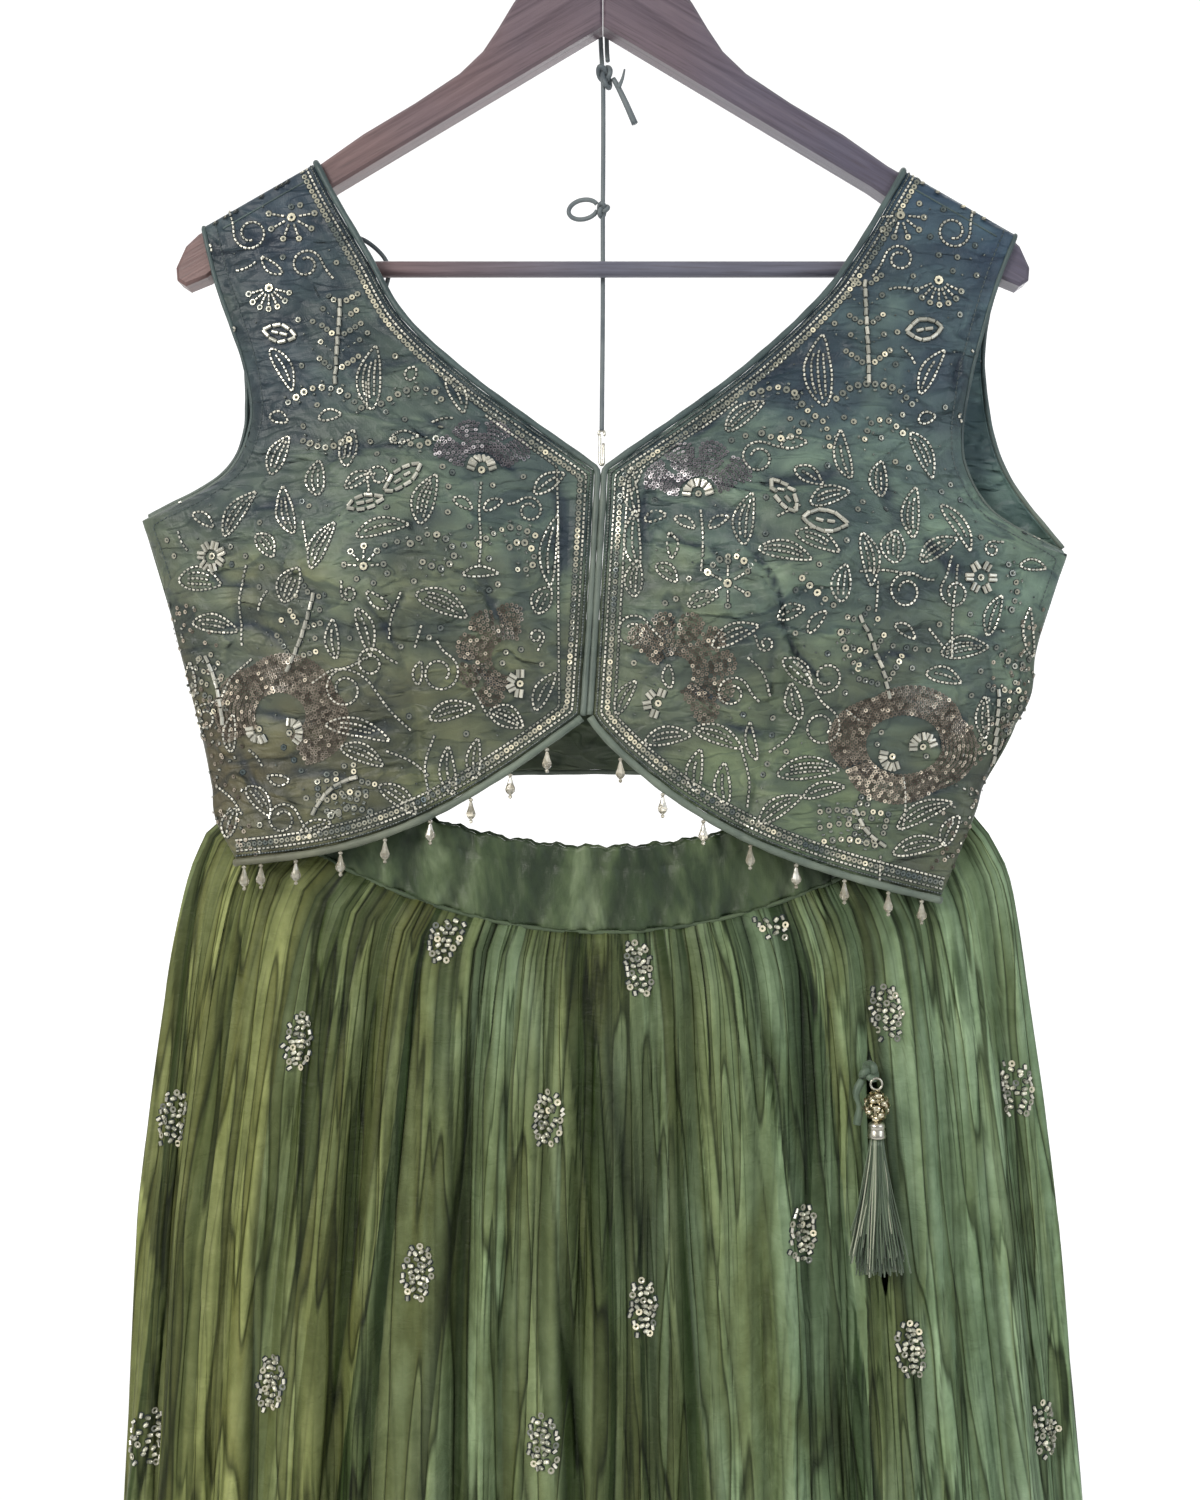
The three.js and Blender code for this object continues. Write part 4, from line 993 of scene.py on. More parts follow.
hook_points = list(SHANK)
for angle in np.radians(range(-40, 201, 20)):
    centre_down = HOOK["radius"] - HOOK["wire"]
    hook_points.append((HOOK["radius"] * math.cos(angle), centre_down - HOOK["radius"] * math.sin(angle), 0))
hook_line = smooth_line(spots(*hook_points), step=1.5 * MM)
hook_width = np.full(len(hook_line), HOOK["wire"] * MM)
hook_width[-len(HOOK_TIP) :] *= HOOK_TIP
cord_piece("hanger_steel_hook", hook_line, hook_width, "steel", "steel", "hanger_hook", sides=16)


# ---------- choli ----------
CHOLI_WALL = 1.3 * MM
GAP = 0.3
SIDE_ROUND = 4
CUP = {"height": 21, "across": 60, "down": 56}
DART = {"at": 0.43, "width": 0.02, "depth": 2.6, "from": 9.6, "to": 11.6}
DART_COLUMNS = DART["at"] + np.array([-1.6, -0.8, -0.4, 0, 0.4, 0.8, 1.6]) * DART["width"]
FRONT_STEP = 3.4
BACK_STEP = 3.6
INNER, OUTER = ("inAcross", "inDown", "inDepth", "belly", "sag"), ("outAcross", "outDown", "outDepth")
IN_CORNERS = ("seam", "top", "fold", "notch")
OUT_CORNERS = ("seam", "top", "fold", "underarm", "ventTop")
BACK_CORNERS = ("seam", "top", "fold", "underarm", "corner")

# Each front runs from its inner edge (neck, then centre front) to its outer edge (armhole, side seam and
# vent), in rows from the shoulder seam to the hem. Along the side seam its depth is half of a seam.
FRONTS = {
    "right": {
        "bust": (104, 396),
        "skew": 1,
        "drops": (0.1, 0.206, 0.319, 0.44, 0.565, 0.693, 0.823, 0.925, 0.975),
        "rows": columns_of(
            """
            row inAcross inDown outAcross outDown inDepth outDepth belly sag
            seam 149.5 184.7 205 216.5 0 0 0 0
            top 149.5 184.7 205 216.5 6.5 6.5 0 0
            fold 148.5 186.7 204.5 218.6 9.2 9.2 0 0
            yoke 140 203 198.5 243 10.5 10 1 0
            upper 122 234 190.5 266 13 11 2 0
            chest 103 266.5 182.5 291 16 10.5 4 0
            cup 66 300.5 180 316 19 9.5 5 0
            notch 4.5 345 189 339 21 6.5 6 0
            scye 4.8 351 206.5 353 21 4 6.5 0
            underarm 5.2 358 239 368 21 0.75 7 0
            bust 6.2 377 229 397 21 0.75 8 0
            underbust 7.6 402 221.5 427 20 0.75 8 2
            rib 8.9 424 213.5 458 19 0.75 7 5
            waist 10.2 443 207 484 19 0.75 6 9
            ventTop 11 456 202.5 507 19.5 0.75 5 13
            vent 11.4 462 199 522 20 10 4 15
            hem 12 469 187 542.3 20.5 17 4 17.5
            """
        ),
    },
    "left": {
        "bust": (92, 400),
        "skew": 0.75,
        "drops": (0.086, 0.206, 0.321, 0.456, 0.584, 0.722, 0.848, 0.945),
        "rows": columns_of(
            """
            row inAcross inDown outAcross outDown inDepth outDepth belly sag
            seam 156.5 188.6 212 220.5 0 0 0 0
            top 156.5 188.6 212 220.5 6.5 6.5 0 0
            fold 156 190.6 211.2 222.6 9.2 9.2 0 0
            yoke 147.5 205 202.5 244 10.5 10 1 0
            upper 130.5 233 194.3 270 13 11 2 0
            chest 110 260 187.5 297 16 10.5 4 0
            cup 67 299 183.8 325 19 9.5 5 0
            notch 2.5 345 188 345 21 6.5 6 0
            scye 2.2 352 204 366 21 4 6.5 0
            underarm 1.8 361 241 385.5 21 0.75 7 0
            bust 0.6 381 231.5 412 21 0.75 8 0
            underbust -0.8 405 224.5 437 20 0.75 8 2
            rib -2.1 426 221.5 460 19 0.75 7 6
            waist -3.2 443 205.5 487 19 0.75 6 10
            ventTop -4 456 196.5 507 19.5 0.75 5 15
            vent -4.4 462 190.5 521 20 10 4 17
            hem -5 469 172 561.5 20.5 18.5 4 20
            """
        ),
    },
}

# Each half of the back runs from its neck edge to its armhole and hem, in rows from the shoulder seam round
# to the middle.
BACKS = {
    "right": columns_of(
        """
        row inAcross inDown outAcross outDown inDepth outDepth
        seam 149.5 184.7 205 216.5 0 0
        top 149.5 184.7 205 216.5 6.5 6.5
        fold 148.5 186.7 204.5 218.6 9.2 9.2
        yoke 139 214 198 246 10 10
        upper 121 262 186.5 284 12 10
        chest 111 305 192 336 14 6
        underarm 104 340 239 368 15 0.75
        bust 95 370 223.5 420 16 0.75
        waist 82 392 210.3 470 17 0.75
        corner 66 405 202.5 507 17 0.75
        hemSide 52 412 180 506 17 11
        hem 36 417 120 502 17 16
        hemInner 18 419.5 60 498 17 17
        centre 0 420 0 497 17 17
        """
    ),
    "left": columns_of(
        """
        row inAcross inDown outAcross outDown inDepth outDepth
        seam 156.5 188.6 212 220.5 0 0
        top 156.5 188.6 212 220.5 6.5 6.5
        fold 156 190.6 211.2 222.6 9.2 9.2
        yoke 148 216 203 250 10 10
        upper 128 262 199 290 12 10
        chest 114 305 209 340 14 6
        underarm 104 340 241 385.5 15 0.75
        bust 95 370 224 438 16 0.75
        waist 82 392 214 475 17 0.75
        corner 66 405 196.5 507 17 0.75
        hemSide 52 412 176 506 17 11
        hem 36 417 120 502 17 16
        hemInner 18 419.5 60 498 17 17
        centre 0 420 0 497 17 17
        """
    ),
}

# Creases: across, down, to across, down, bow, width and depth of the trough (negative: a ridge).
CREASES = {
    "right": """
    143 344 98 334 5 4.5 3.0, 100 328 78 315 -3 4.0 2.6, 152 258 128 249 3 4.5 1.8
    118 290 92 283 -4 4.0 1.6, 72 336 42 349 4 3.6 2.2, 24 352 20 400 3 6.0 2.6, 34 362 30 412 -3 5.5 -1.6
    186 372 150 364 5 6.0 1.8, 205 392 176 404 -4 5.0 1.6, 122 410 100 446 3 3.2 1.8
    92 404 108 430 -3 3.0 1.6, 76 440 52 458 3 4.0 1.7, 60 398 44 428 -4 5.0 1.5, 196 424 158 436 5 5.0 1.9
    182 462 140 470 -5 4.5 1.7, 128 482 100 476 3 3.6 1.5, 160 500 122 506 4 4.6 1.6
    190 486 176 520 3 4.0 1.4, 196 246 186 262 1 2.4 0.9, 192 268 184 290 1 2.6 0.9
    184 302 180 322 1 2.6 1.0, 170 318 132 326 4 7.0 -1.4, 88 356 130 372 6 8.0 -1.5
    150 392 128 418 4 6.0 -1.3
    """,
    "left": """
    72 353 122 344 4 6.0 2.8, 28 374 66 388 4 2.4 2.2, 70 384 90 424 -4 2.6 2.6, 90 424 112 452 4 2.6 2.6
    88 426 84 460 1 2.6 1.4, 142 340 150 372 3 6.0 1.8, 28 330 62 312 4 5.0 1.8, 78 300 118 288 -4 5.0 1.7
    160 372 186 398 5 4.5 1.9, 186 322 204 356 -4 4.5 1.8, 196 346 214 372 -3 4.0 1.6
    18 352 20 402 -2 5.0 2.2, 42 410 28 446 3 4.0 1.6, 58 470 80 478 3 3.0 1.8, 40 452 74 462 4 3.6 1.6
    120 448 166 440 -4 4.0 1.9, 178 432 206 424 3 4.0 1.7, 104 484 156 500 4 4.4 1.7
    150 518 186 508 -4 4.0 1.6, 164 476 192 488 3 3.6 1.5, 190 250 182 276 1 2.6 1.0
    184 284 180 306 1 2.6 1.0, 50 340 96 366 6 9.0 -1.6, 130 384 170 392 6 8.0 -1.6
    96 398 128 424 -5 6.0 -1.2
    """,
    "back": """
    -190 300 -150 312 4 5 1.8, 186 306 140 322 -4 5 1.7, -176 366 -118 356 6 6 2.2, 182 382 126 372 -6 6 2.2
    -150 410 -96 424 5 5 1.9, 140 430 84 440 5 5 2.0, -60 446 10 452 -4 6 1.8, -180 446 -140 462 4 4 1.6
    176 470 128 480 -4 5 1.6, -90 474 -30 480 4 5 1.5, 40 470 96 462 4 5 1.5
    """,
}


def side_round(u):
    return np.sqrt(np.maximum(0, 1 - u**SIDE_ROUND))


def front_columns():
    """A front's columns as fractions across it, closer together at its outer edge and at its dart."""
    return np.unique(np.concatenate([1 - (1 - np.linspace(0, 1, 84)) ** 1.35, DART_COLUMNS]))


def front_point(panel, position, u):
    """Points of a front at rows and columns given as fractions, in millimetres."""
    rows = panel["rows"]
    inner = {name: along(rows, name, position, IN_CORNERS) for name in INNER}
    outer = {name: along(rows, name, position, OUT_CORNERS) for name in OUTER}
    across = mix(inner["inAcross"], outer["outAcross"], u)
    down = mix(inner["inDown"], outer["outDown"], u) + inner["sag"] * np.sin(math.pi * u ** panel["skew"])
    bust_across, bust_down = panel["bust"]
    cup = np.exp(-(((across - bust_across) / CUP["across"]) ** 2) - ((down - bust_down) / CUP["down"]) ** 2)
    dart = np.exp(-(((u - DART["at"]) / DART["width"]) ** 2)) * ramp(DART["from"], DART["to"], position)
    depth = outer["outDepth"] + (inner["inDepth"] - outer["outDepth"]) * side_round(u)
    depth = depth + inner["belly"] * np.sin(math.pi * u) - DART["depth"] * dart
    depth = depth + ramp(2, 7, position) * CUP["height"] * cup * np.minimum(1, side_round(u) * 1.4)
    return across, down, np.where(position < 0.001, GAP / 2, depth)


def row_marks(rows, step):
    """Fractional rows about step millimetres apart down the outer edge."""
    fewest = 3
    marks = [0.0]
    for i, (down, across) in enumerate(zip(np.diff(rows["outDown"]), np.diff(rows["outAcross"]))):
        parts = max(fewest, int(round(math.hypot(down, across) / step)))
        marks.extend(i + (k + 1) / parts for k in range(parts))
    return np.array(marks)


def mark_of(rows, name, step):
    """The index in row_marks of a named row."""
    return int(np.argmin(np.abs(row_marks(rows, step) - rows["row"].index(name))))


def bend_line(x0, d0, x1, d1, bow, count=20):
    """Points on a shallow arc between two places, in millimetres."""
    t = np.linspace(0, 1, count)
    length = math.hypot(x1 - x0, d1 - d0)
    nx, nd = -(d1 - d0) / length, (x1 - x0) / length
    swell = 4 * t * (1 - t) * bow
    return np.stack([mix(x0, x1, t) + nx * swell, mix(d0, d1, t) + nd * swell], axis=1), t


def creased(across, down, place):
    """How far a panel's creases push the cloth out, in millimetres: troughs with a ridge on each side."""
    push = np.zeros_like(across)
    for x0, d0, x1, d1, bow, width, depth in rows_of(CREASES[place]):
        line, t = bend_line(x0, d0, x1, d1, bow)
        aside_x, aside_d = across[..., None] - line[:, 0], down[..., None] - line[:, 1]
        gap = np.hypot(aside_x, aside_d)
        nearest = gap.argmin(axis=-1)
        fade = np.sin(math.pi * np.clip(t[nearest], 0.03, 0.97)) ** 0.6
        below = np.take_along_axis(aside_d, nearest[..., None], axis=-1)[..., 0]
        near = np.sign(below) * gap.min(axis=-1) / width
        for height, middle, spread in ((-1.3, 0, 0.75), (0.85, 1.5, 0.9), (0.25, -2.2, 1.2)):
            push += height * depth * fade * np.exp(-(((near - middle) / spread) ** 2))
    return push


def rumpled(across, down, seed):
    """Small soft puckers, in millimetres, from waves that cross each other."""
    maker = random.Random(seed)
    height = 0.26
    push = np.zeros_like(across)
    for size, share in ((46, 0.5), (31, 0.5), (22, 0.45), (16, 0.4), (12, 0.35), (9, 0.28), (7, 0.22)):
        for _ in range(3):
            turn = maker.uniform(-0.9, 0.9)
            phase = maker.uniform(0, 6.3)
            drift = maker.uniform(0.5, 1.4)
            wave = (down * math.cos(turn) + across * math.sin(turn)) * 2 * math.pi / size
            push += share * np.sin(wave + phase + drift * np.sin(across / (size * 0.8) + phase))
    return push * height


def choli_front(side):
    """The points of a front, its outward normals and how deep in a crease each is."""
    panel, sign = FRONTS[side], SIGNS[side]
    position = row_marks(panel["rows"], FRONT_STEP)[:, None]
    u = front_columns()[None, :]
    across, down, depth = front_point(panel, position, u)
    free = ramp(2.5, 5, position) * ramp(0, 0.05, u) * ramp(0, 0.05, 1 - u)
    free = free * ramp(0, 0.7, len(panel["rows"]["row"]) - 1 - position)
    push = (creased(across, down, side) + rumpled(across, down, 3 + sign)) * free
    points = np.stack([sign * across, -depth + 0 * down, -down], axis=-1) * MM
    points = points + normals_of(points) * -sign * push[..., None] * MM
    return points, normals_of(points) * -sign, np.clip(-push / 2.4, 0, 1)


def choli_back():
    """The points of the back, from the right shoulder seam round the neck to the left one."""
    u = (1 - (1 - np.linspace(0, 1, 56)) ** 1.3)[None, :]
    halves = []
    for side, sign in SIGNS.items():
        rows = BACKS[side]
        position = row_marks(rows, BACK_STEP)[:, None]
        get = {name: along(rows, name, position, BACK_CORNERS) for name in rows if name != "row"}
        across = mix(get["inAcross"], get["outAcross"], u)
        down = mix(get["inDown"], get["outDown"], u)
        depth = get["outDepth"] + (get["inDepth"] - get["outDepth"]) * side_round(u)
        depth = np.where(position < 0.001, GAP / 2, depth)
        halves.append(np.stack([sign * across, depth, -down], axis=-1) * MM)
    points = np.concatenate([halves[0], halves[1][::-1][1:]])
    across, down = points[..., 0] / MM, -points[..., 2] / MM
    free = ramp(0, 0.06, u) * ramp(0, 0.06, 1 - u) * ramp(225, 260, down)
    push = (creased(across, down, "back") + rumpled(across, down, 11)) * free
    points = points - normals_of(points) * push[..., None] * MM
    return points, -normals_of(points), np.clip(-push / 3.0, 0, 1)


def turn_out(made):
    """Turns every face of a closed piece outwards."""
    work = bmesh.new()
    work.from_mesh(made.data)
    bmesh.ops.recalc_face_normals(work, faces=work.faces)
    work.to_mesh(made.data)
    work.free()


def shell(name, points, normals, thickness, material, paints):
    """A thin closed shell on a grid of points in its middle surface."""
    rows, columns = points.shape[:2]
    outer = (points + normals * thickness / 2).reshape(-1, 3)
    inner = (points - normals * thickness / 2).reshape(-1, 3)
    count = rows * columns
    walls = grid_faces(rows, columns)
    start, beside, _, below = outer[walls[0]]
    if np.cross(beside - start, below - start) @ normals[0, 0] < 0:
        walls = walls[:, ::-1]
    k = np.arange(count).reshape(rows, columns)
    rim = np.concatenate([k[0, :-1], k[:-1, -1], k[-1, :0:-1], k[:0:-1, 0]])
    ahead = np.roll(rim, -1)
    edge = np.stack([rim, ahead, ahead + count, rim + count], axis=1)
    faces = [walls, walls[:, ::-1] + count, edge]
    made = mesh_object(name, np.concatenate([outer, inner]), faces, material)
    for label, values in paints.items():
        paint(made, label, np.tile(values.ravel(), 2))
    turn_out(made)
    return made


# ---------- choli panels and piping ----------
PIPING = {"edge": 1.4, "hem": 2.0, "arm": 1.2}
FULLER_EDGE = 1.22  # the front edge's piping is rolled thicker, so it lies further out too
FULLER_SPREAD = 1.27
FLAT = {"right": (0.275, 0.352), "left": (0.275, 0.372), "back": (0.482, 0.325)}
BACK_LOOP = spots(
    (-134.3, 215, 10.7),
    (-124, 219.5, 9),
    (-115, 228, 7.3),
    (-112.3, 236.5, 6.7),
    (-115.5, 246.5, 9),
    (-120.4, 251, 12),
)


def beside(panel, cells, behind, radius, spread=0.93):
    """The middle line of piping along a panel's edge, flush with the panel's inner side."""
    edge = panel["points"][cells]
    tangent = tangents_of(edge)
    out = edge - panel["points"][behind]
    out = unit(out - tangent * (out * tangent).sum(axis=1, keepdims=True))
    lift = panel["normals"][cells] * (radius * MM - CHOLI_WALL / 2)
    return edge + out * (radius * MM * spread) + lift


def piping(name, line, radius, node, look="edge", slot="piping_satin"):
    """A rolled satin edge, a little fuller in some places than in others."""
    line = spaced(line, 2.4 * MM)
    run = np.arange(len(line))
    fuller = 1 + 0.05 * np.sin(run * 0.9 + radius) + 0.04 * np.sin(run * 0.37)
    return cord_piece(name, line, radius * MM * fuller, look, slot, node)


def choli_panel(node, look, points, normals, trough):
    piece = shell(f"{node}_cloth", points, normals, CHOLI_WALL, LOOK[look], {"trough": trough})
    return {"points": points, "normals": normals, "piece": finish_piece(piece, "silk_satin", node)}


def choli_sheet(panel, flat, arms, trims):
    """States a panel that hangs from the arms. Its area is kept from 0.3 of its flat size to all of it."""
    whole = flat[0] * flat[1]
    area = min(max(area_of(panel["points"]), 0.3 * whole), whole)
    rests_on = [f"hanger_arm_{side}" for side in arms]
    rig.sheet(panel["piece"], flat=flat, area=area, held="hung", rests_on=rests_on, with_pieces=trims)


def front_piece(side):
    node = f"choli_front_{side}"
    panel = choli_panel(node, "choli", *choli_front(side))
    under = mark_of(FRONTS[side]["rows"], "underarm", FRONT_STEP)
    edge, arm, hem = PIPING["edge"], PIPING["arm"], PIPING["hem"]
    edge_line = beside(panel, np.s_[:, 0], np.s_[:, 1], edge, FULLER_SPREAD)
    arm_line = beside(panel, np.s_[:under, -1], np.s_[:under, -4], arm)
    panel["hem_line"] = beside(panel, -1, -2, hem)
    trims = [
        piping(f"{node}_edge_roll", edge_line, edge * FULLER_EDGE, f"{node}_edge_piping"),
        piping(f"{node}_armhole_roll", arm_line, arm, f"{node}_armhole_piping"),
        piping(f"{node}_hem_roll", panel["hem_line"], hem, f"{node}_hem_piping", look="piping"),
    ]
    choli_sheet(panel, FLAT[side], [side], trims)
    return panel


def back_piece():
    panel = choli_panel("choli_back", "choli_back", *choli_back())
    under = {side: mark_of(BACKS[side], "underarm", BACK_STEP) for side in SIGNS}
    corner = {side: mark_of(BACKS[side], "corner", BACK_STEP) + 2 for side in SIGNS}
    arm_rows = {"right": slice(under["right"]), "left": slice(-under["left"], None)}
    hem_rows = slice(corner["right"], -corner["left"])
    edge, arm = PIPING["edge"], PIPING["arm"]
    line = beside(panel, np.s_[:, 0], np.s_[:, 1], edge)
    trims = [piping("choli_back_neck_roll", line, edge, "choli_back_neck_piping")]
    for side, rows in arm_rows.items():
        line = beside(panel, (rows, -1), (rows, -4), arm)
        node = f"choli_back_{side}_armhole_piping"
        trims.append(piping(f"choli_back_armhole_roll_{side}", line, arm, node))
    line = beside(panel, (hem_rows, -1), (hem_rows, -4), edge)
    trims.append(piping("choli_back_hem_roll", line, edge, "choli_back_hem_piping", look="piping"))
    choli_sheet(panel, FLAT["back"], SIGNS, trims)
    return panel


panels = {side: front_piece(side) for side in SIGNS}
panels["back"] = back_piece()
back_loop_line = smooth_line(BACK_LOOP)
look = slot = "rouleau"
back_loop = cord_piece("choli_back_rouleau_loop", back_loop_line, CORD_RADIUS, look, slot, "choli_back_loop")
declare_cord(back_loop, back_loop_line, "object")


# ---------- crystal drops ----------
# Radius and distance below the hem piping: the thread's seed bead, the faceted drop and a stop bead.
DROP_PROFILE = (
    (0.15, 0.0), (1.15, 0.55), (1.15, 1.35), (0.55, 1.9),
    (0.8, 2.4), (1.55, 5.2), (2.6, 7.9), (2.35, 9.3), (1.2, 10.6), (0.5, 11.0),
    (1.05, 11.6), (0.9, 12.5), (0.1, 13.0),
)
DROP_SIDES = 8


def turned(profile, sides, centre, phase=0.0):
    """A closed solid of rings below a point. The profile is radius and distance down, in millimetres."""
    angle = circle(sides, phase)
    rings = [np.stack([r * np.cos(angle), r * np.sin(angle), np.full(sides, -d)], axis=1) for r, d in profile]
    ends = [[0, 0, -profile[end][1]] for end in (0, -1)]
    points = np.vstack([*rings, ends]) * MM + centre
    return points, grid_faces(len(profile), sides, round_columns=True), fans(len(profile), sides)


for side in SIGNS:
    hem = panels[side]["hem_line"]
    tangent = tangents_of(hem)
    columns = front_columns()
    parts = []
    for share in FRONTS[side]["drops"]:
        centre = np.array([np.interp(share, columns, hem[:, k]) for k in range(3)])
        slope = tangent[int(np.argmin(np.abs(columns - share)))]
        centre[2] -= (PIPING["hem"] / math.hypot(slope[0], slope[1]) - 0.1) * MM
        parts.append(turned(DROP_PROFILE, DROP_SIDES, centre, chance.uniform(0, 0.8)))
    drops = joined(f"crystal_drops_{side}", parts, LOOK["crystal"], smooth=False)
    finish_piece(drops, "crystal", *(f"crystal_drop_{side}_{i + 1}" for i in range(len(parts))))


# ---------- skirt ----------
SKIRT_WALL = 1.0 * MM
LEFT_DEGREES = 51
LEFT_SEAM = math.radians(LEFT_DEGREES)
RIGHT_SEAM = math.radians(-90)
RIGHT_SEAM_AGAIN = math.radians(270)  # after a whole turn
WAIST = {"half": 188, "depth": 12, "topDown": 537, "rise": 66, "height": 42}
WAIST_PIPING = 1.1
SKIRT_TOP = WAIST["height"] + 2 * WAIST_PIPING + 3 * GAP
SKIRT_LENGTH = 968
SKIRT = columns_of(
    """
    row fall right left depth fold
    gather 0 188 188 12 0.8
    spring 0.012 204 199 12.5 1.4
    hip 0.034 213 211 14 2.2
    lowHip 0.062 218.5 215.5 16 2.9
    slitTop 0.086 222.5 218.3 17.8 3.4
    slitOpen 0.104 224.5 220.3 19 3.7
    slitMiddle 0.15 230 225 22 4.4
    slitEnd 0.215 237.5 231 26.5 5.1
    thigh 0.33 243.5 240 33 6
    knee 0.5 255 254 41 7
    calf 0.72 273 272 49 8
    hem 1 294 294 57 9
    """
)
SLIT = {"top": 0.086, "end": 0.215, "half": 4.6, "rounding": 0.6}
SEAM_GAP = 0.1
SECTION = {"square": 0.985, "flat": 0.35}
PLEATS = {"main": 31, "second": 53, "drift": 2.2, "mainShare": 0.62}
SEEN_FALL = 0.36
falls = np.concatenate([np.linspace(-0.0016, SEEN_FALL, 46), np.linspace(SEEN_FALL, 1, 22)[1:]])[:, None]


def skirt_row(name, fall):
    """A column of the skirt's table at distances down, rounded off at the table's rows."""
    reach = 0.012 * ramp(0, 0.05, fall)
    offsets = np.linspace(-1, 1, 9)
    return np.mean([np.interp(fall + o * reach, SKIRT["fall"], SKIRT[name]) for o in offsets], axis=0)


def section_across(turn):
    return np.arcsin(SECTION["square"] * np.sin(turn)) / math.asin(SECTION["square"])


def section_depth(turn):
    c = np.cos(turn)
    return c / np.hypot(c, SECTION["flat"]) * math.hypot(1, SECTION["flat"])


def waist_down(across):
    """How far down the waistband's top edge is: it dips in the middle."""
    return WAIST["topDown"] - WAIST["rise"] * across**2


def pleat(turn, fall):
    """The large pleats, from -1 in the troughs to 1 on the ridges."""
    drift = PLEATS["drift"] * np.sin(2 * turn + 3 * fall)
    second = np.sin(PLEATS["second"] * turn + 5 * fall + 1.3)
    return PLEATS["mainShare"] * np.sin(PLEATS["main"] * turn + drift) + (1 - PLEATS["mainShare"]) * second


def uneven(number, salt):
    """A fixed uneven value from 0 to 1 for each whole number."""
    return np.modf(np.abs(np.sin(number * 12.9898 + salt * 7.233)) * 437.585)[0]


def strips(turn, fall, count, drift, salt):
    """Upright strips of uneven width, count of them in half the round: their numbers, and 0 to 1 across."""
    wander = np.sin(3.1 * turn + 4 * fall + salt) + 0.7 * np.sin(7.3 * turn - 6.5 * fall + 2 * salt)
    place = count * turn / math.pi + drift * (wander + 0.35 * np.sin(13 * turn + 11 * fall + salt))
    place = place + 0.25 * np.sin(1.7 * place + salt) + 0.15 * np.sin(2.9 * place + 5 * fall)
    number = np.floor(place)
    return number, place - number


# Folds of the crushed silk: how many in half the round, how far they wander, their depth in millimetres, and the width
# and the evenness of the painted shade line along each.
FOLDS = {
    "panel": (13, 0.30, 3.0, 0.08, 0.8),
    "pleat": (41, 0.9, 2.2, 0.13, 0.75),
    "crinkle": (108, 2.2, 1.0, 0.24, 0.35),
}


def knife(across, turned_over):
    """A fold that lies over to one side: steep up from its edge, then gently down again."""
    reach = np.where(turned_over, 1 - across, across)
    return (1 - np.exp(-reach / 0.09)) * (1 - 0.7 * reach), reach


def crushed(turn, fall):
    """How far the crushed folds push the silk out, in millimetres, with the painted shade along its fold lines, its
    shade (painted shade, painted highlight and each strip's own tone) and its hue there.
    """
    turn, fall = turn + 0 * fall, fall + 0 * turn
    push, dark, shade, hue = (np.zeros_like(turn) for _ in range(4))
    dense = np.ones_like(turn)
    gathered = 1 - ramp(0.0, 0.06, fall)
    for salt, (name, (count, drift, depth, width, strong)) in enumerate(FOLDS.items(), 1):
        number, across = strips(turn, fall, count, drift, salt)
        lift, reach = knife(across, uneven(number, salt) > 0.5)
        comes = 6 + 9 * uneven(number, salt + 9)
        swell = np.sin(comes * fall * (1 + 0.3 * salt) + 6.3 * uneven(number, salt + 4))
        swell = np.clip(0.62 + 0.75 * swell, 0, 1)
        if name == "panel":
            swell = np.maximum(swell, 0.45) * (1 - 0.7 * gathered)
            dense = np.clip(1.6 * uneven(number, 21) - 0.2 + 0.5 * np.sin(5 * fall + number), 0.12, 1)
            shade += 0.8 * (uneven(number, 31) - 0.45) * (1 - gathered)
            hue += 0.3 + 0.4 * uneven(number, 41)
        elif name == "pleat":
            swell = 0.35 + 0.65 * swell * (0.4 + 0.6 * dense)
            shade += 0.9 * (uneven(number, 51) - 0.45)
            hue += 0.5 * (uneven(number, 61) - 0.5)
        else:
            swell = np.maximum(0.15 + 0.85 * swell * dense, 0.95 * gathered)
            shade += (uneven(number, 71) - 0.42) * (0.35 + 0.65 * swell)
        push += depth * swell * (lift - 0.45)
        # Painted highlight on the ridge beside each fold line.
        shade -= 0.3 * swell * np.exp(-(((reach - 0.3) / 0.16) ** 2))
        # Painted shade: a dark line along the edge of each fold.
        line = mix(swell, 1.0, strong * uneven(number, 91)) * np.exp(-reach / width)
        dark = np.maximum(dark, line * (0.8 + 0.2 * uneven(number, 81)))
    return push, np.clip(dark, 0, 1), np.clip(shade + 0.3 * dense, 0, 1), np.clip(hue, 0, 1)


def skirt_points(turn, fall):
    """Points of the skirt's middle surface in metres, with what its colour reads."""
    across = section_across(turn)
    half = np.where(across < 0, skirt_row("right", fall), skirt_row("left", fall))
    depth = skirt_row("depth", fall)
    down = waist_down(across) + SKIRT_TOP + fall * SKIRT_LENGTH
    step = 0.01
    along_x = half * (section_across(turn + step) - section_across(turn - step))
    along_y = -depth * (section_depth(turn + step) - section_depth(turn - step))
    large = skirt_row("fold", fall) * pleat(turn, fall)
    seam = 1 - np.exp(-(((turn - LEFT_SEAM) / 0.02) ** 2))
    fine, dark, shade, hue = crushed(turn, fall)
    push = (large + fine * seam * (0.6 + 0.4 * ramp(0, 0.1, fall))) / np.hypot(along_x, along_y)
    # Painted shade: darker in the troughs of the large pleats and just under the waistband.
    shade = np.clip(shade + 0.16 - 0.24 * pleat(turn, fall) + 0.2 * (1 - ramp(0, 0.05, fall)), 0, 1)
    x, y = half * across + push * along_y, -depth * section_depth(turn) - push * along_x
    paints = {"trough": dark, "shade": shade, "hue": hue, "round": 0.155 * (turn + 0 * fall)}
    return np.stack([x, y, -down], axis=-1) * MM, paints


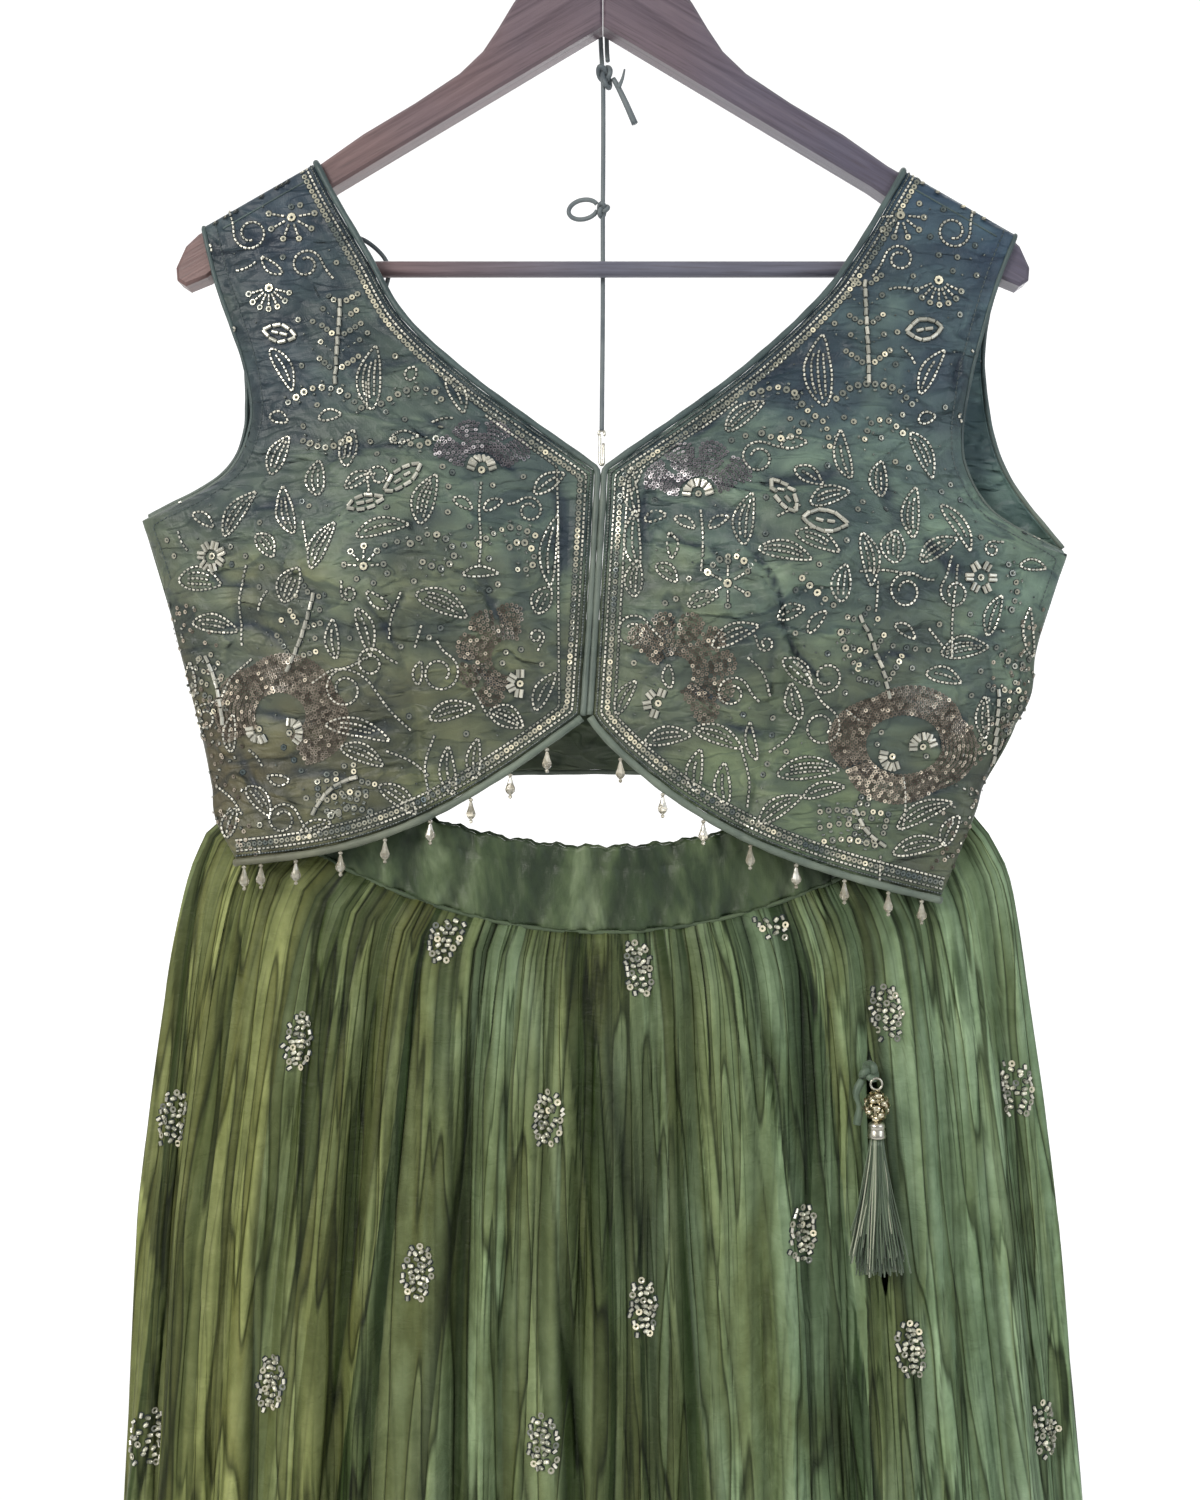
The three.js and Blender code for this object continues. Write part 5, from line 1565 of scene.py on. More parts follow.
def speed(turn, fall):
    """Millimetres round the skirt for each radian of turn."""
    step = 0.005
    half = np.where((turn < 0) | (turn > math.pi), skirt_row("right", fall), skirt_row("left", fall))
    dx = half * (section_across(turn + step) - section_across(turn - step))
    dy = skirt_row("depth", fall) * (section_depth(turn + step) - section_depth(turn - step))
    return np.hypot(dx, dy) / (2 * step)


def slit_half(fall):
    """Half the width of the gap at the left seam, which opens into the slit."""
    t = np.clip((fall - SLIT["top"]) / (SLIT["end"] - SLIT["top"]), 0, 1)
    return SEAM_GAP + SLIT["half"] * np.maximum(0, np.sin(math.pi * t)) ** SLIT["rounding"]


def beside_seam(seam, way):
    """Where a panel's edge runs. At the left seam it draws back round the slit."""
    gap = slit_half(falls) if seam == LEFT_SEAM else SEAM_GAP
    return seam + way * gap / speed(np.full_like(falls, seam), falls)


def skirt_panel(name, shares, start, end):
    """A finished panel from one seam to the next, with columns at shares of the way, and its points."""
    turn = mix(beside_seam(start, 1), beside_seam(end, -1), shares[None, :])
    points, paints = skirt_points(turn, falls)
    normals = normals_of(points)
    third = len(points) // 3
    if (normals[third] * (points[third] - points[third].mean(axis=0)))[:, 1].mean() < 0:
        normals = -normals
    made = shell(f"skirt_{name}_cloth", points, normals, SKIRT_WALL, LOOK["skirt"], paints)
    return finish_piece(made, "crushed_silk", f"skirt_{name}"), points


# ---------- waistband ----------
BAND_WALL = 1.1 * MM
BAND_GAP = 0.0022
PUCKERS = ((34, 0.8), (21, 0.75), (13, 0.6), (8, 0.45), (5, 0.3))  # length and height
DRAWSTRING = {"below": 11, "width": 1.2, "depth": 0.9}


def band_panel(name, start, end, columns, seed):
    """A band of satin, puckered along its drawstring at the top and gathered into the seam below."""
    turn = np.linspace(start, end, columns)[None, :]
    below = np.linspace(0, WAIST["height"] + 0.6, 22)[:, None]
    across = section_across(turn)
    run = across * WAIST["half"]
    share = below / WAIST["height"]
    maker = random.Random(seed)
    push = np.zeros(np.broadcast_shapes(turn.shape, below.shape))
    for size, height in PUCKERS:
        lean = maker.uniform(-0.5, 0.5)
        phase = maker.uniform(0, 6)
        wave = (run + lean * below) * 2 * math.pi / size
        push += height * np.sin(wave + phase + 0.8 * np.sin(run / 23 + phase))
    push *= 0.75 + 0.5 * np.cos(math.pi * 2 * share) * 0.6
    push -= DRAWSTRING["depth"] * np.exp(-(((below - DRAWSTRING["below"]) / DRAWSTRING["width"]) ** 2))
    push *= ramp(0, 0.03, np.minimum(turn - start, end - turn))
    lip = 0.7 * np.sin(run * 2 * math.pi / 17 + 1) + 0.5 * np.sin(run * 2 * math.pi / 7.3)
    down = waist_down(across) + below + lip * (1 - share) ** 3
    y = -WAIST["depth"] * section_depth(turn) + 0 * below
    along_x = np.gradient(run, axis=1)
    along_y = np.gradient(y, axis=1)
    length = np.hypot(along_x, along_y)
    points = np.stack([run + push * along_y / length, y - push * along_x / length, -down], axis=-1) * MM
    outward = np.stack([np.sin(turn) + 0 * below, -np.cos(turn) + 0 * below, 0 * down], axis=-1)
    normals = normals_of(points)
    normals = normals * np.sign((normals * outward).sum(axis=-1).mean())
    # Painted shade: the hollows of the puckers are darker.
    trough = np.clip(0.25 - 0.3 * push, 0, 1)
    made = shell(f"waistband_{name}_cloth", points, normals, BAND_WALL, LOOK["band"], {"trough": trough})
    return finish_piece(made, "band_satin", f"waistband_{name}"), points


def waist_roll(name, start, end, columns):
    """The piping in the seam between the band and the skirt."""
    turn = np.linspace(start, end, columns)
    across = section_across(turn)
    down = waist_down(across) + (WAIST["height"] + GAP + WAIST_PIPING)
    seam = np.stack([across * WAIST["half"], -WAIST["depth"] * section_depth(turn), -down], axis=1) * MM
    roll_name, node = f"waistband_{name}_seam_roll", f"waist_piping_{name}"
    return piping(roll_name, seam, WAIST_PIPING, node, look="seam", slot="band_satin")


def gathered_sheet(piece, points, trims):
    """States a gathered panel. Its flat size is its folds laid out, and its area is just inside that."""
    area = area_of(points)
    long = float(points[..., 2].max() - points[..., 2].min())
    flat = (area / long, long)
    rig.sheet(piece, flat=flat, area=area * 0.999, held="gathered", rests_on=["hanger_bar"], with_pieces=trims)


# The back's columns are closer together up to the side, where they can be seen.
side_share = (90 - LEFT_DEGREES) / (270 - LEFT_DEGREES)
back_shares = np.concatenate([np.linspace(0, side_share, 171), np.linspace(side_share, 1, 421)[1:]])
SHARES = {"front": np.linspace(0, 1, 651), "back": back_shares}
SPANS = {"front": (RIGHT_SEAM, LEFT_SEAM), "back": (LEFT_SEAM, RIGHT_SEAM_AGAIN)}
BANDS = {name: (start + BAND_GAP, end - BAND_GAP) for name, (start, end) in SPANS.items()}
BAND_COLUMNS = {"front": 190, "back": 230}
BAND_SEEDS = {"front": 5, "back": 9}

skirts = {name: skirt_panel(name, SHARES[name], *SPANS[name]) for name in SPANS}
bands, rolls = {}, {}
for name, ends in BANDS.items():
    bands[name] = band_panel(name, *ends, BAND_COLUMNS[name], BAND_SEEDS[name])
    rolls[name] = waist_roll(name, *ends, BAND_COLUMNS[name])
for name in SPANS:
    gathered_sheet(*skirts[name], [rolls[name]])
for name in SPANS:
    gathered_sheet(*bands[name], [])
for side in SIGNS:
    dress(f"skirt_loop_{side}", LOOK["rouleau"])


# ---------- beads and sequins ----------
def bead(length, radius, belly=1, sides=6):
    """A bead that lies along X, in millimetres. With a belly above 1 its ends are narrower."""
    angle = circle(sides)
    stations = (-0.5, 0.5) if belly == 1 else (-0.5, 0, 0.5)
    rings = []
    for s in stations:
        r = radius / belly if s else radius
        x, y, z = np.full(sides, s * length), r * np.cos(angle), r * np.sin(angle) + radius * 0.8
        rings.append(np.stack([x, y, z], axis=1))
    first = np.arange(sides)
    last = first + (len(stations) - 1) * sides
    walls = grid_faces(len(stations), sides, round_columns=True)[:, ::-1]
    return np.vstack(rings), [walls, np.stack([first, last[::-1]])]


def sequin(radius, sides=8):
    """A cupped sequin, in millimetres, with its hole in the middle."""
    angle = circle(sides)
    rings = [
        np.stack([r * np.cos(angle), r * np.sin(angle), np.full(sides, z)], axis=1)
        for r, z in ((radius * 0.36, 0.25), (radius * 0.66, 0.62), (radius, 0.6))
    ]
    return np.vstack(rings), [grid_faces(len(rings), sides, round_columns=True)]


def pad():
    """A flat dark six-sided patch under a bead, in millimetres: its thread, the pinched cloth and painted shadow round
    the bead.
    """
    points = [(-1, 0), (-0.55, -0.5), (0.55, -0.5), (1, 0), (0.55, 0.5), (-0.55, 0.5)]
    return np.array([(x, y, 0.12) for x, y in points]), [np.arange(6)[None]]


class Trim:
    """Many small parts of one shape, gathered one by one and then made into one mesh."""

    def __init__(self, shape):
        self.points, self.face_sets = shape
        self.parts, self.tones = [], []

    def add(self, place, forward, up, tone=0.5, size=(1.0, 1.0, 1.0), tilt=0.0):
        """Adds one part at a place on the cloth, along forward and with its top towards up."""
        x = unit(np.asarray(forward, float))
        z = unit(np.asarray(up, float) - x * (x @ up))
        y = np.cross(z, x)
        if tilt:
            x, z = x * math.cos(tilt) + z * math.sin(tilt), z * math.cos(tilt) - x * math.sin(tilt)
        self.parts.append(np.asarray(place) + (self.points * np.multiply(size, MM)) @ np.stack([x, y, z]))
        self.tones.append(tone)

    def build(self, name, look, slot, smooth=False):
        each, count = len(self.points), len(self.parts)
        starts = (np.arange(count) * each)[:, None, None]
        face_sets = [(faces[None] + starts).reshape(-1, faces.shape[1]) for faces in self.face_sets]
        made = mesh_object(name, np.vstack(self.parts), face_sets, LOOK[look], smooth)
        paint(made, "tone", np.repeat(self.tones, each))
        return finish_piece(made, slot)


# Each kind of part on the choli: its shape, the end of its piece's name, its look and its slot.
KINDS = {
    "cut": (bead(1.42, 0.54), "cut_glass", "bugle", "crystal"),
    "dark": (bead(1.1, 0.55, 1.3, 5), "seed_beads", "seed", "crystal"),
    "bugle": (bead(4.1, 1.0), "long_bugles", "bugle", "crystal"),
    "sequin": (sequin(1.75), "clear_sequins", "sequin", "sequin"),
    "bronze": (sequin(1.2, 6), "bronze_sequins", "bronze", "sequin"),
    "mauve": (sequin(1.2, 6), "mauve_sequins", "mauve", "sequin"),
    "stitch": (bead(1.7, 0.28, sides=4), "topstitching", "thread", "silk_thread"),
    # The patch under each bead: its thread and painted shadow.
    "knot": (pad(), "bead_threads", "shadow", "silk_thread"),
}
# The dark patch under each kind of part, its thread and painted shadow: half its length, and its whole width.
PADS = {"cut": (1.2, 1.9), "bugle": (2.7, 3.0), "sequin": (2.1, 4.0)}
# The rows inside a leaf of each width, as shares of that width from its spine.
LEAF_ROWS = {5: (), 6: (), 7: (0.0,), 8: (0.0,), 9: (-0.14, 0.16), 10: (-0.16, 0.16), 11: (-0.2, 0.0, 0.2)}
WIDE_LEAF_ROWS = (-0.24, 0.0, 0.24)
MIDDLE = (110, 420)  # a place across and down that is well inside a front
FILLED = (12, 226)  # how far across small parts fill a front, from and to
ARMHOLE_SHARE = 0.62  # of a front's rows, down its outer edge
SPRIG_ROOM = 8.5  # to the nearest part sewn before
LOOSE_ROOM = 4.6
SEAM_TRIES, SPRIG_TRIES, LOOSE_TRIES = 700, 700, 1500
# The rows along the edge: distance from it, kind, step, dullest and brightest tone, and size.
BORDERS = (
    (1.5, "dark", 1.5, 0.0, 0.3, 1.1),
    (4.0, "cut", 2.3, 0.35, 1.0, 1.0),
    (6.8, "sequin", 2.9, 0.3, 1.0, 0.8),
)


def way_of(angle):
    """The direction of an angle in radians, across and down."""
    return np.array([math.cos(angle), -math.sin(angle)])


def local(across, down, angle, x, y):
    """Points of a motif's own x and y, turned and put at its place across and down."""
    c, s = math.cos(math.radians(angle)), math.sin(math.radians(angle))
    return np.stack([across + x * c - y * s, down - x * s - y * c], axis=1)


class Needle:
    """Sews parts onto one panel of cloth, at places given across and down in millimetres."""

    def __init__(self, tree):
        self.tree = tree
        self.kinds = {kind: Trim(shape) for kind, (shape, *_) in KINDS.items()}
        self.used = []

    def touch(self, across, down):
        """The place and outward direction on the cloth straight behind a point, or None beside it."""
        start = Vector((across * MM, -0.3, -down * MM))
        hit, normal, _, _ = self.tree.ray_cast(start, Vector((0, 1, 0)))
        if hit is None:
            return None
        normal = np.array(normal)
        return np.array(hit), normal * -np.sign(normal[1] or -1)

    def part(self, at, heading, kind, tones=(0.25, 1.0), size=1.0, tilt=0.0):
        found = self.touch(*at)
        if found is None:
            return
        place, up = found
        forward = np.array([heading[0], 0.0, -heading[1]])
        forward = forward - up * (forward @ up)
        tone = chance.uniform(*tones)
        self.kinds[kind].add(place, forward, up, tone, size * chance.uniform(0.93, 1.07), tilt)
        # A dark patch under the part: its thread and painted shadow.
        if kind in PADS:
            long, wide = PADS[kind]
            self.kinds["knot"].add(place, forward, up, chance.random(), (long * size, wide * size, 1.0))
        self.used.append(tuple(at))

    def row(self, line, kind="cut", step=2.3, tones=(0.25, 1.0), size=1.0):
        """A row of parts along a flat line."""
        marks = spaced(np.asarray(line, float), step)
        for a, b in zip(marks, marks[1:]):
            sway = chance.uniform(-0.14, 0.14)
            way = b - a + sway * np.array([a[1] - b[1], b[0] - a[0]])
            self.part((a + b) / 2, way, kind, tones, size)

    def bugles(self, line, step=4.9, size=1.0):
        self.row(line, "bugle", step, (0.3, 0.68), size)

    def border(self, line, kind, step, low, high, size):
        """A row along an edge that is bright in some stretches and dull in others."""
        marks = spaced(line, step)
        for i, (a, b) in enumerate(zip(marks, marks[1:])):
            glow = 0.5 + 0.5 * math.sin(i * step / 13 + 2.2 * math.sin(i * step / 37))
            middle = mix(low, high, glow**2.5)
            self.part((a + b) / 2, b - a, kind, (max(0.0, middle - 0.3), min(1.0, middle + 0.3)), size)

    # Motifs. Angles are in degrees, anticlockwise from the wearer's left, as seen from in front.
    def leaf(self, across, down, long, wide, angle):
        """A leaf of cut beads: its outline and, where there is room, one to three rows inside."""
        t = np.linspace(0, 1, 25)
        rim = np.sin(math.pi * t**0.85) ** 0.8
        spine = 0.08 * long * np.sin(math.pi * t)
        for share in (-0.5, 0.5, *LEAF_ROWS.get(int(wide), WIDE_LEAF_ROWS)):
            line = local(across, down, angle, (t - 0.5) * long, spine + share * wide * rim)
            if abs(share) == 0.5:
                self.row(line, "cut", tones=(0.3, 1.0))
            else:
                start, end = chance.randint(2, 5), chance.randint(18, 22)
                self.row(line[start:end], "cut", tones=(0.1, 0.85))

    def curl(self, across, down, radius, angle, turns, tail, way=1):
        """A coiled tendril with a tail that leaves it at an angle."""
        t = np.linspace(0, 1, 40)
        r = radius * mix(1.0, 0.42, t)
        turn = t * turns * 2 * math.pi
        coil = np.stack([r * np.cos(turn), way * r * np.sin(turn)], axis=1)
        s = np.linspace(1, 0, 12)[:-1]
        stem = np.stack([radius + radius * 0.35 * s**2, -way * tail * s], axis=1)
        line = np.vstack([stem, coil])
        self.row(local(across, down, angle, line[:, 0], line[:, 1]), "cut")

    def spray(self, across, down, radius, angle, arms, span):
        """Short rows that open like a fan from one point, each with a sequin at its end."""
        foot = np.array([across, down])
        for i in range(arms):
            way = way_of(math.radians(angle + (i / (arms - 1) - 0.5) * span))
            self.row([foot + way * radius * 0.3, foot + way * radius * 0.85], "cut")
            self.part(foot + way * radius, way, "sequin", (0.3, 0.9), 0.9)
        self.part(foot, (1, 0), "sequin", (0.8, 1.0), 1.25)

    def eye(self, across, down, long, wide, angle):
        """An almond of long bugles with one or two more lying in it."""
        t = np.linspace(0, 1, 20)
        rim = np.sin(math.pi * t) ** 0.8
        for side in (1, -1):
            self.bugles(local(across, down, angle, (t - 0.5) * long, side * wide / 2 * rim), 4.7)
        self.bugles(local(across, down, angle, (t - 0.5) * long * 0.5, 0 * t), 4.7, 0.9)

    def flower(self, across, down, radius, petals, start, span):
        """Pairs of bugles that lie round a centre like petals."""
        centre = np.array([across, down])
        for i in range(petals):
            way = way_of(math.radians(start + span * i / petals))
            aside = np.array([way[1], -way[0]])
            for side in (-1, 1):
                place = centre + way * radius * 0.62 + aside * side * 1.15
                self.part(place, way, "bugle", (0.3, 0.75), min(1.0, radius / 8))
        self.part(centre, (1, 0), "sequin", (0.7, 1.0), 1.0)

    def fan(self, across, down, radius, start, end, inner, lobes, bright, kind="bronze", squash=1, cut=0.24):
        """Rows of sequins that lap over one another in a scalloped fan, with cuts between its lobes."""
        row_count = int(radius * (1 - inner) / 1.95)
        for i in range(row_count + 1):
            share = i / row_count
            mean = radius * mix(inner, 1.0, share)
            count = max(4, int(math.radians(abs(end - start)) * mean / 2.15))
            for k in range(count + 1):
                f = min(1.0, (k + 0.5 * (i % 2)) / count)
                lobe = abs(math.sin(math.pi * lobes * f))
                if lobe < cut and share > 0.3:
                    continue
                a = math.radians(mix(start, end, f))
                way = np.array([math.cos(a), -squash * math.sin(a)])
                place = np.array([across, down]) + way * mean * (1 + 0.13 * share * (lobe - 0.6))
                # Painted glints: a few sequins, more towards the fan's end as bright grows, get bright tones.
                sparkles = chance.random() < 0.03 + bright * f**2
                tones = (0.6, 1.0) if sparkles else (0.0, 0.4)
                self.part(place, way, kind, tones, chance.uniform(0.88, 1.0), -0.22)

    def stem(self, foot_across, foot_down, tip_across, tip_down, reach, bend):
        """A line of long bugles with sequin twigs on both sides."""
        foot, tip = np.array([foot_across, foot_down], float), np.array([tip_across, tip_down], float)
        t = np.linspace(0, 1, 20)[:, None]
        way = unit(tip - foot)
        out = np.array([-way[1], way[0]])
        self.bugles(foot + (tip - foot) * t + out * bend * np.sin(math.pi * t))
        for i, share in enumerate(np.arange(0.16, 1.0, 0.19)):
            at = foot + (tip - foot) * share
            for side in (1, -1):
                heading = unit(way * 0.75 + out * side)
                length = reach * (1.05 - 0.45 * share) * chance.uniform(0.85, 1.1)
                for d in np.arange(4.0, length + 1, 3.3):
                    kind = "sequin" if d + 3.3 > length or (i + side) % 2 else "dark"
                    self.part(at + heading * d, heading, kind, (0.1, 1.0), 0.85)

    def twigs(self, *places):
        """Sequins in two staggered rows along a scroll."""
        marks = spaced(smooth_line(np.reshape(places, (-1, 2))), 4.6)
        for i, (at, way) in enumerate(zip(marks, tangents_of(marks))):
            aside = np.array([-way[1], way[0]]) * (1 if i % 2 else -1)
            self.part(at, way, "sequin", (0.25, 1.0), chance.uniform(0.8, 1.05))
            self.part(at + aside * 3.2, way, "dark", (0.2, 0.8), 1.3)

    def tendril(self, *places):
        self.row(smooth_line(np.reshape(places, (-1, 2))), "cut", tones=(0.3, 0.9))

    # What fills the cloth between the motifs.
    def loose(self, at, share, common, rare, tones, size):
        """One part that lies any way round, of the common kind in that share of cases."""
        a = chance.uniform(0, 2 * math.pi)
        kind = common if chance.random() < share else rare
        self.part(at, (math.cos(a), math.sin(a)), kind, tones, size)

    def seam_fill(self, count, sign, low, high):
        """Small sequins and beads, thickest beside the side seam."""
        for _ in range(count):
            at = (sign * chance.uniform(165, 240), chance.uniform(low, high))
            if self.touch(at[0] + sign * chance.uniform(1, 26), at[1]) is None:
                self.loose(at, 0.7, "bronze", "cut", (0.0, 0.75), 0.95)

    def sprigs(self, count, low, high):
        """Small leaves, curls and short rows in the wider gaps between the motifs."""
        for _ in range(count):
            across, down = chance.uniform(low[0], high[0]), chance.uniform(low[1], high[1])
            if room_at((across, down), self.used) < SPRIG_ROOM:
                continue
            angle, pick = chance.uniform(0, 360), chance.random()
            if pick < 0.55:
                self.leaf(across, down, chance.uniform(11, 15), 5.5, angle)
            elif pick < 0.75:
                self.curl(across, down, 4.2, angle, 1.2, 5)
            else:
                reach = np.linspace(-6, 6, 7)
                self.row(local(across, down, angle, reach, 0.03 * reach**2), "cut", tones=(0.2, 0.9))

    def scatter(self, count, low, high):
        """Loose sequins and single beads in the cloth that is still bare."""
        taken = list(self.used)
        for _ in range(count):
            at = (chance.uniform(low[0], high[0]), chance.uniform(low[1], high[1]))
            if room_at(at, taken) < LOOSE_ROOM:
                continue
            self.loose(at, 0.6, "sequin", "dark", (0.0, 0.7), 0.85)
            taken.append(at)

    def build(self, name):
        for kind, (_, ending, look, slot) in KINDS.items():
            self.kinds[kind].build(f"{name}_{ending}", look, slot, smooth=kind == "dark")


def room_at(at, taken):
    """How far a place is from the nearest of those taken."""
    return np.min(np.hypot(*(np.array(taken) - at).T))


def sew(needle, pattern):
    """Sews a pattern: each line names a kind of motif and then gives the numbers of each one."""
    for line in pattern.strip().splitlines():
        kind, motifs = line.split(maxsplit=1)
        for values in rows_of(motifs):
            getattr(needle, kind)(*values)


def outer_tree(grid, normals, lift):
    """A search tree over the outer side of a panel."""
    outer = (grid + normals * lift).reshape(-1, 3)
    faces = grid_faces(*grid.shape[:2])
    return BVHTree.FromPolygons([tuple(p) for p in outer], [tuple(f) for f in faces.tolist()])


def flat_of(line):
    """The across and down of points in metres, in millimetres."""
    return np.stack([line[:, 0], -line[:, 2]], axis=1) / MM


def clear_of(line, edge, distance):
    """The points of a flat line that are further than a distance from an edge."""
    far = [np.min(np.hypot(*(edge - p).T)) > distance for p in line]
    return line[np.array(far)]


def inset(edge, distance, inside):
    """A line beside a flat edge, at a distance on the side where the point inside lies."""
    edge = spaced(edge, 0.8)
    way = tangents_of(edge)
    out = np.stack([-way[:, 1], way[:, 0]], axis=1)
    middle = len(edge) // 2
    if (np.array(inside) - edge[middle]) @ out[middle] < 0:
        out = -out
    return clear_of(edge + out * distance, edge, distance - 0.25)


def nearness(grid, used):
    """How near each point of a front is to its embroidery, from 0 to 1."""
    reach = 2.6
    used = np.array(used)
    near = [np.min((used[:, 0] - x) ** 2 + (used[:, 1] - d) ** 2) for x, d in flat_of(grid.reshape(-1, 3))]
    return np.exp(-np.array(near) / (2 * reach**2))


# The motifs of each front, in the order of sewing: across, down, then that kind's sizes and angle.
# A stem has its foot, tip, reach and bend, and twigs and tendrils have the places on their way.
PATTERNS = {
    "right": """
        fan -61 345 24 8 172 0.4 4 0.35 mauve, -47 440 25 70 262 0.4 5 0.1
        fan -164 469 34 -64 208 0.42 3 0.1 bronze 0.86 0
        flower -199 388 9 7 20 360, -61 346 8.5 5 20 175, -42 453 8 4 90 230, -175 476 8 4 190 130
        flower -159 478 8.5 5 -40 160
        eye -165 274 18 9 -14, -100 351 23 9 40, -118 364 19 8 14
        curl -181 221 9 180 1.3 13 1, -152 238 8 20 1.3 12 1, -82 448 10 60 1.3 9 -1, -130 456 10 100 1.3 14 1
        curl -116 443 7.5 40 1.3 9 1, -37 366 7 130 1.3 7 -1, -163 522 8.5 20 1.35 12 1
        curl -112 350 6 200 1.2 9 -1, -205 470 7 90 1.2 8 1
        spray -160 213 12 -90 6 200, -171 250 11 -90 7 150, -118 396 10 90 5 170
        leaf -164 293 26 8 -62, -116 298 34 12 88, -165 318 11 6 -20, -164 337 22 10 66, -127 335 20 9 82
        leaf -75 307 21 8 -64, -143 350 19 10 92, -87 362 27 11 74, -158 366 26 9 105, -184 367 28 9 54
        leaf -109 378 27 8 12, -170 384 15 9 -52, -139 385 26 9 62, -156 404 19 12 62, -206 401 24 12 -8
        leaf -198 424 26 9 -12, -134 431 20 7 92, -119 428 24 8 -76, -80 415 27 11 -24, -30 411 15 10 62
        leaf -25 386 36 8 84, -27 352 19 8 36, -124 478 34 9 -14, -76 468 24 9 14, -49 471 19 11 -26
        leaf -29 457 22 8 62, -122 490 24 9 -24, -77 497 25 8 96, -64 491 21 7 86, -104 512 24 9 -38
        leaf -176 513 20 9 -48, -190 524 16 8 70, -70 364 11 5 -30, -55 364 11 5 30, -61 399 18 5 4
        leaf -212 450 18 6 95, -138 318 12 6 10, -97 296 8 6 60, -190 478 20 7 84, -146 527 18 7 24
        leaf -45 500 14 6 40, -92 448 12 5 80, -122 352 16 7 30, -100 330 15 6 8
        stem -136 302 -134 256 15 0, -160 447 -144 408 15 1.5, -148 520 -124 500 15 -4, -195 474 -204 438 9 2
        twigs -160 310 -147 303 -133 305 -122 314, -152 330 -140 334 -128 330
        twigs -112 312 -100 305 -88 304 -82 309, -62 384 -52 377 -43 375 -34 379
        twigs -95 385 -86 380 -77 383 -74 391 -80 397 -89 394, -47 385 -41 382 -35 387 -36 395 -43 396
        twigs -105 330 -92 334 -84 330, -208 440 -212 455 -208 470 -214 486 -206 500
        twigs -140 512 -130 508 -120 510, -138 520 -128 516 -118 518
        tendril -61 352 -62 366 -61 382 -62 396, -180 393 -184 410 -183 434, -100 408 -104 418 -107 432
        tendril -147 453 -134 446 -120 450 -108 466 -97 477, -85 479 -90 494 -88 512, -90 424 -94 436
        tendril -150 372 -147 388, -178 440 -190 450 -196 462, -110 487 -98 492 -88 500, -66 455 -58 470
        tendril -120 300 -119 315, -200 505 -190 512 -184 520
    """,
    "left": """
        fan 48 359 27 10 174 0.4 4 0.4 mauve, 36 448 29 -66 148 0.34 7 0.1
        fan 153 484 37 206 -148 0.56 4 0.4 bronze 0.76 0
        flower 192 399 10 6 0 360, 48 358 9 6 15 185, 28 463 9 4 70 240, 147 490 8 4 170 160
        flower 163 485 8.5 5 20 200
        eye 164 272 19 11 10, 90 360 21 9 -58, 110 373 23 11 -8
        curl 180 220 9 0 1.3 16 -1, 152 235 7.5 160 1.3 14 -1, 78 340 9 60 1.3 11 1, 152 407 9.5 60 1.35 10 1
        curl 15 427 9 30 1.3 12 1, 65 458 8.5 20 1.2 9 1, 112 450 8.5 200 1.3 12 1, 110 475 10 60 1.3 12 -1
        curl 178 407 8 150 1.2 16 1
        spray 153 212 12 -90 6 170, 172 246 13 -90 7 130, 62 404 11 60 6 300
        leaf 112 294 38 14 90, 168 294 27 8 60, 165 318 10 6 20, 72 318 25 9 38, 16 356 26 7 96
        leaf 17 380 30 8 92, 103 350 17 8 -32, 113 361 22 9 18, 122 338 26 8 100, 140 350 19 10 86
        leaf 162 337 26 9 -64, 157 367 27 9 84, 72 372 27 10 80, 179 374 28 8 -58, 90 390 27 9 -12
        leaf 106 384 24 9 -24, 146 385 17 13 84, 169 386 24 9 32, 131 392 27 9 -80, 119 404 19 10 82
        leaf 17 400 19 9 84, 50 412 16 7 18, 184 436 26 11 8, 66 430 25 9 24, 97 448 20 9 -44, 97 462 19 8 104
        leaf 58 481 27 9 -22, 33 481 24 9 8, 48 497 22 8 82, 62 504 22 8 92, 104 498 32 11 4, 90 517 26 9 32
        leaf 112 508 22 7 14, 164 520 32 9 24, 161 537 28 9 10, 178 528 18 8 60, 221 426 26 6 96
        leaf 12 460 20 7 60, 173 450 20 8 -14, 41 373 12 5 -30, 58 373 12 5 30, 93 419 15 7 20
        leaf 200 418 22 8 70, 196 470 22 7 92, 32 398 14 7 -40, 76 482 20 5 100, 96 333 14 6 10
        leaf 205 508 16 7 70
        stem 135 301 134 246 15 0, 145 461 127 419 16 2, 144 536 128 516 13 -3, 202 494 203 455 11 0
        twigs 118 309 126 303 137 301 150 304 157 311, 98 308 104 316 112 322 114 334
        twigs 132 330 136 321 145 320 152 326, 80 327 88 330 97 328 101 322, 76 306 88 303 97 306
        twigs 98 402 106 409 114 415, 52 398 58 392 66 391 73 396, 118 428 122 438 128 446
        twigs 110 518 120 517 132 519, 110 526 122 524 134 527, 112 533 124 532 138 535
        twigs 207 392 212 404 209 415, 212 452 216 462 211 474 208 486, 204 438 213 444 220 440
        tendril 49 366 50 382 49 398, 180 392 177 415 177 440, 72 440 80 448 84 460, 122 466 130 472
        tendril 86 371 98 365, 127 398 140 397 154 399, 70 486 74 502 73 516, 137 402 136 418, 20 345 14 358
        tendril 153 500 154 515 152 528, 164 425 172 434, 84 488 94 480 99 470, 216 490 210 500 206 512
        tendril 140 560 141 540
    """,
}


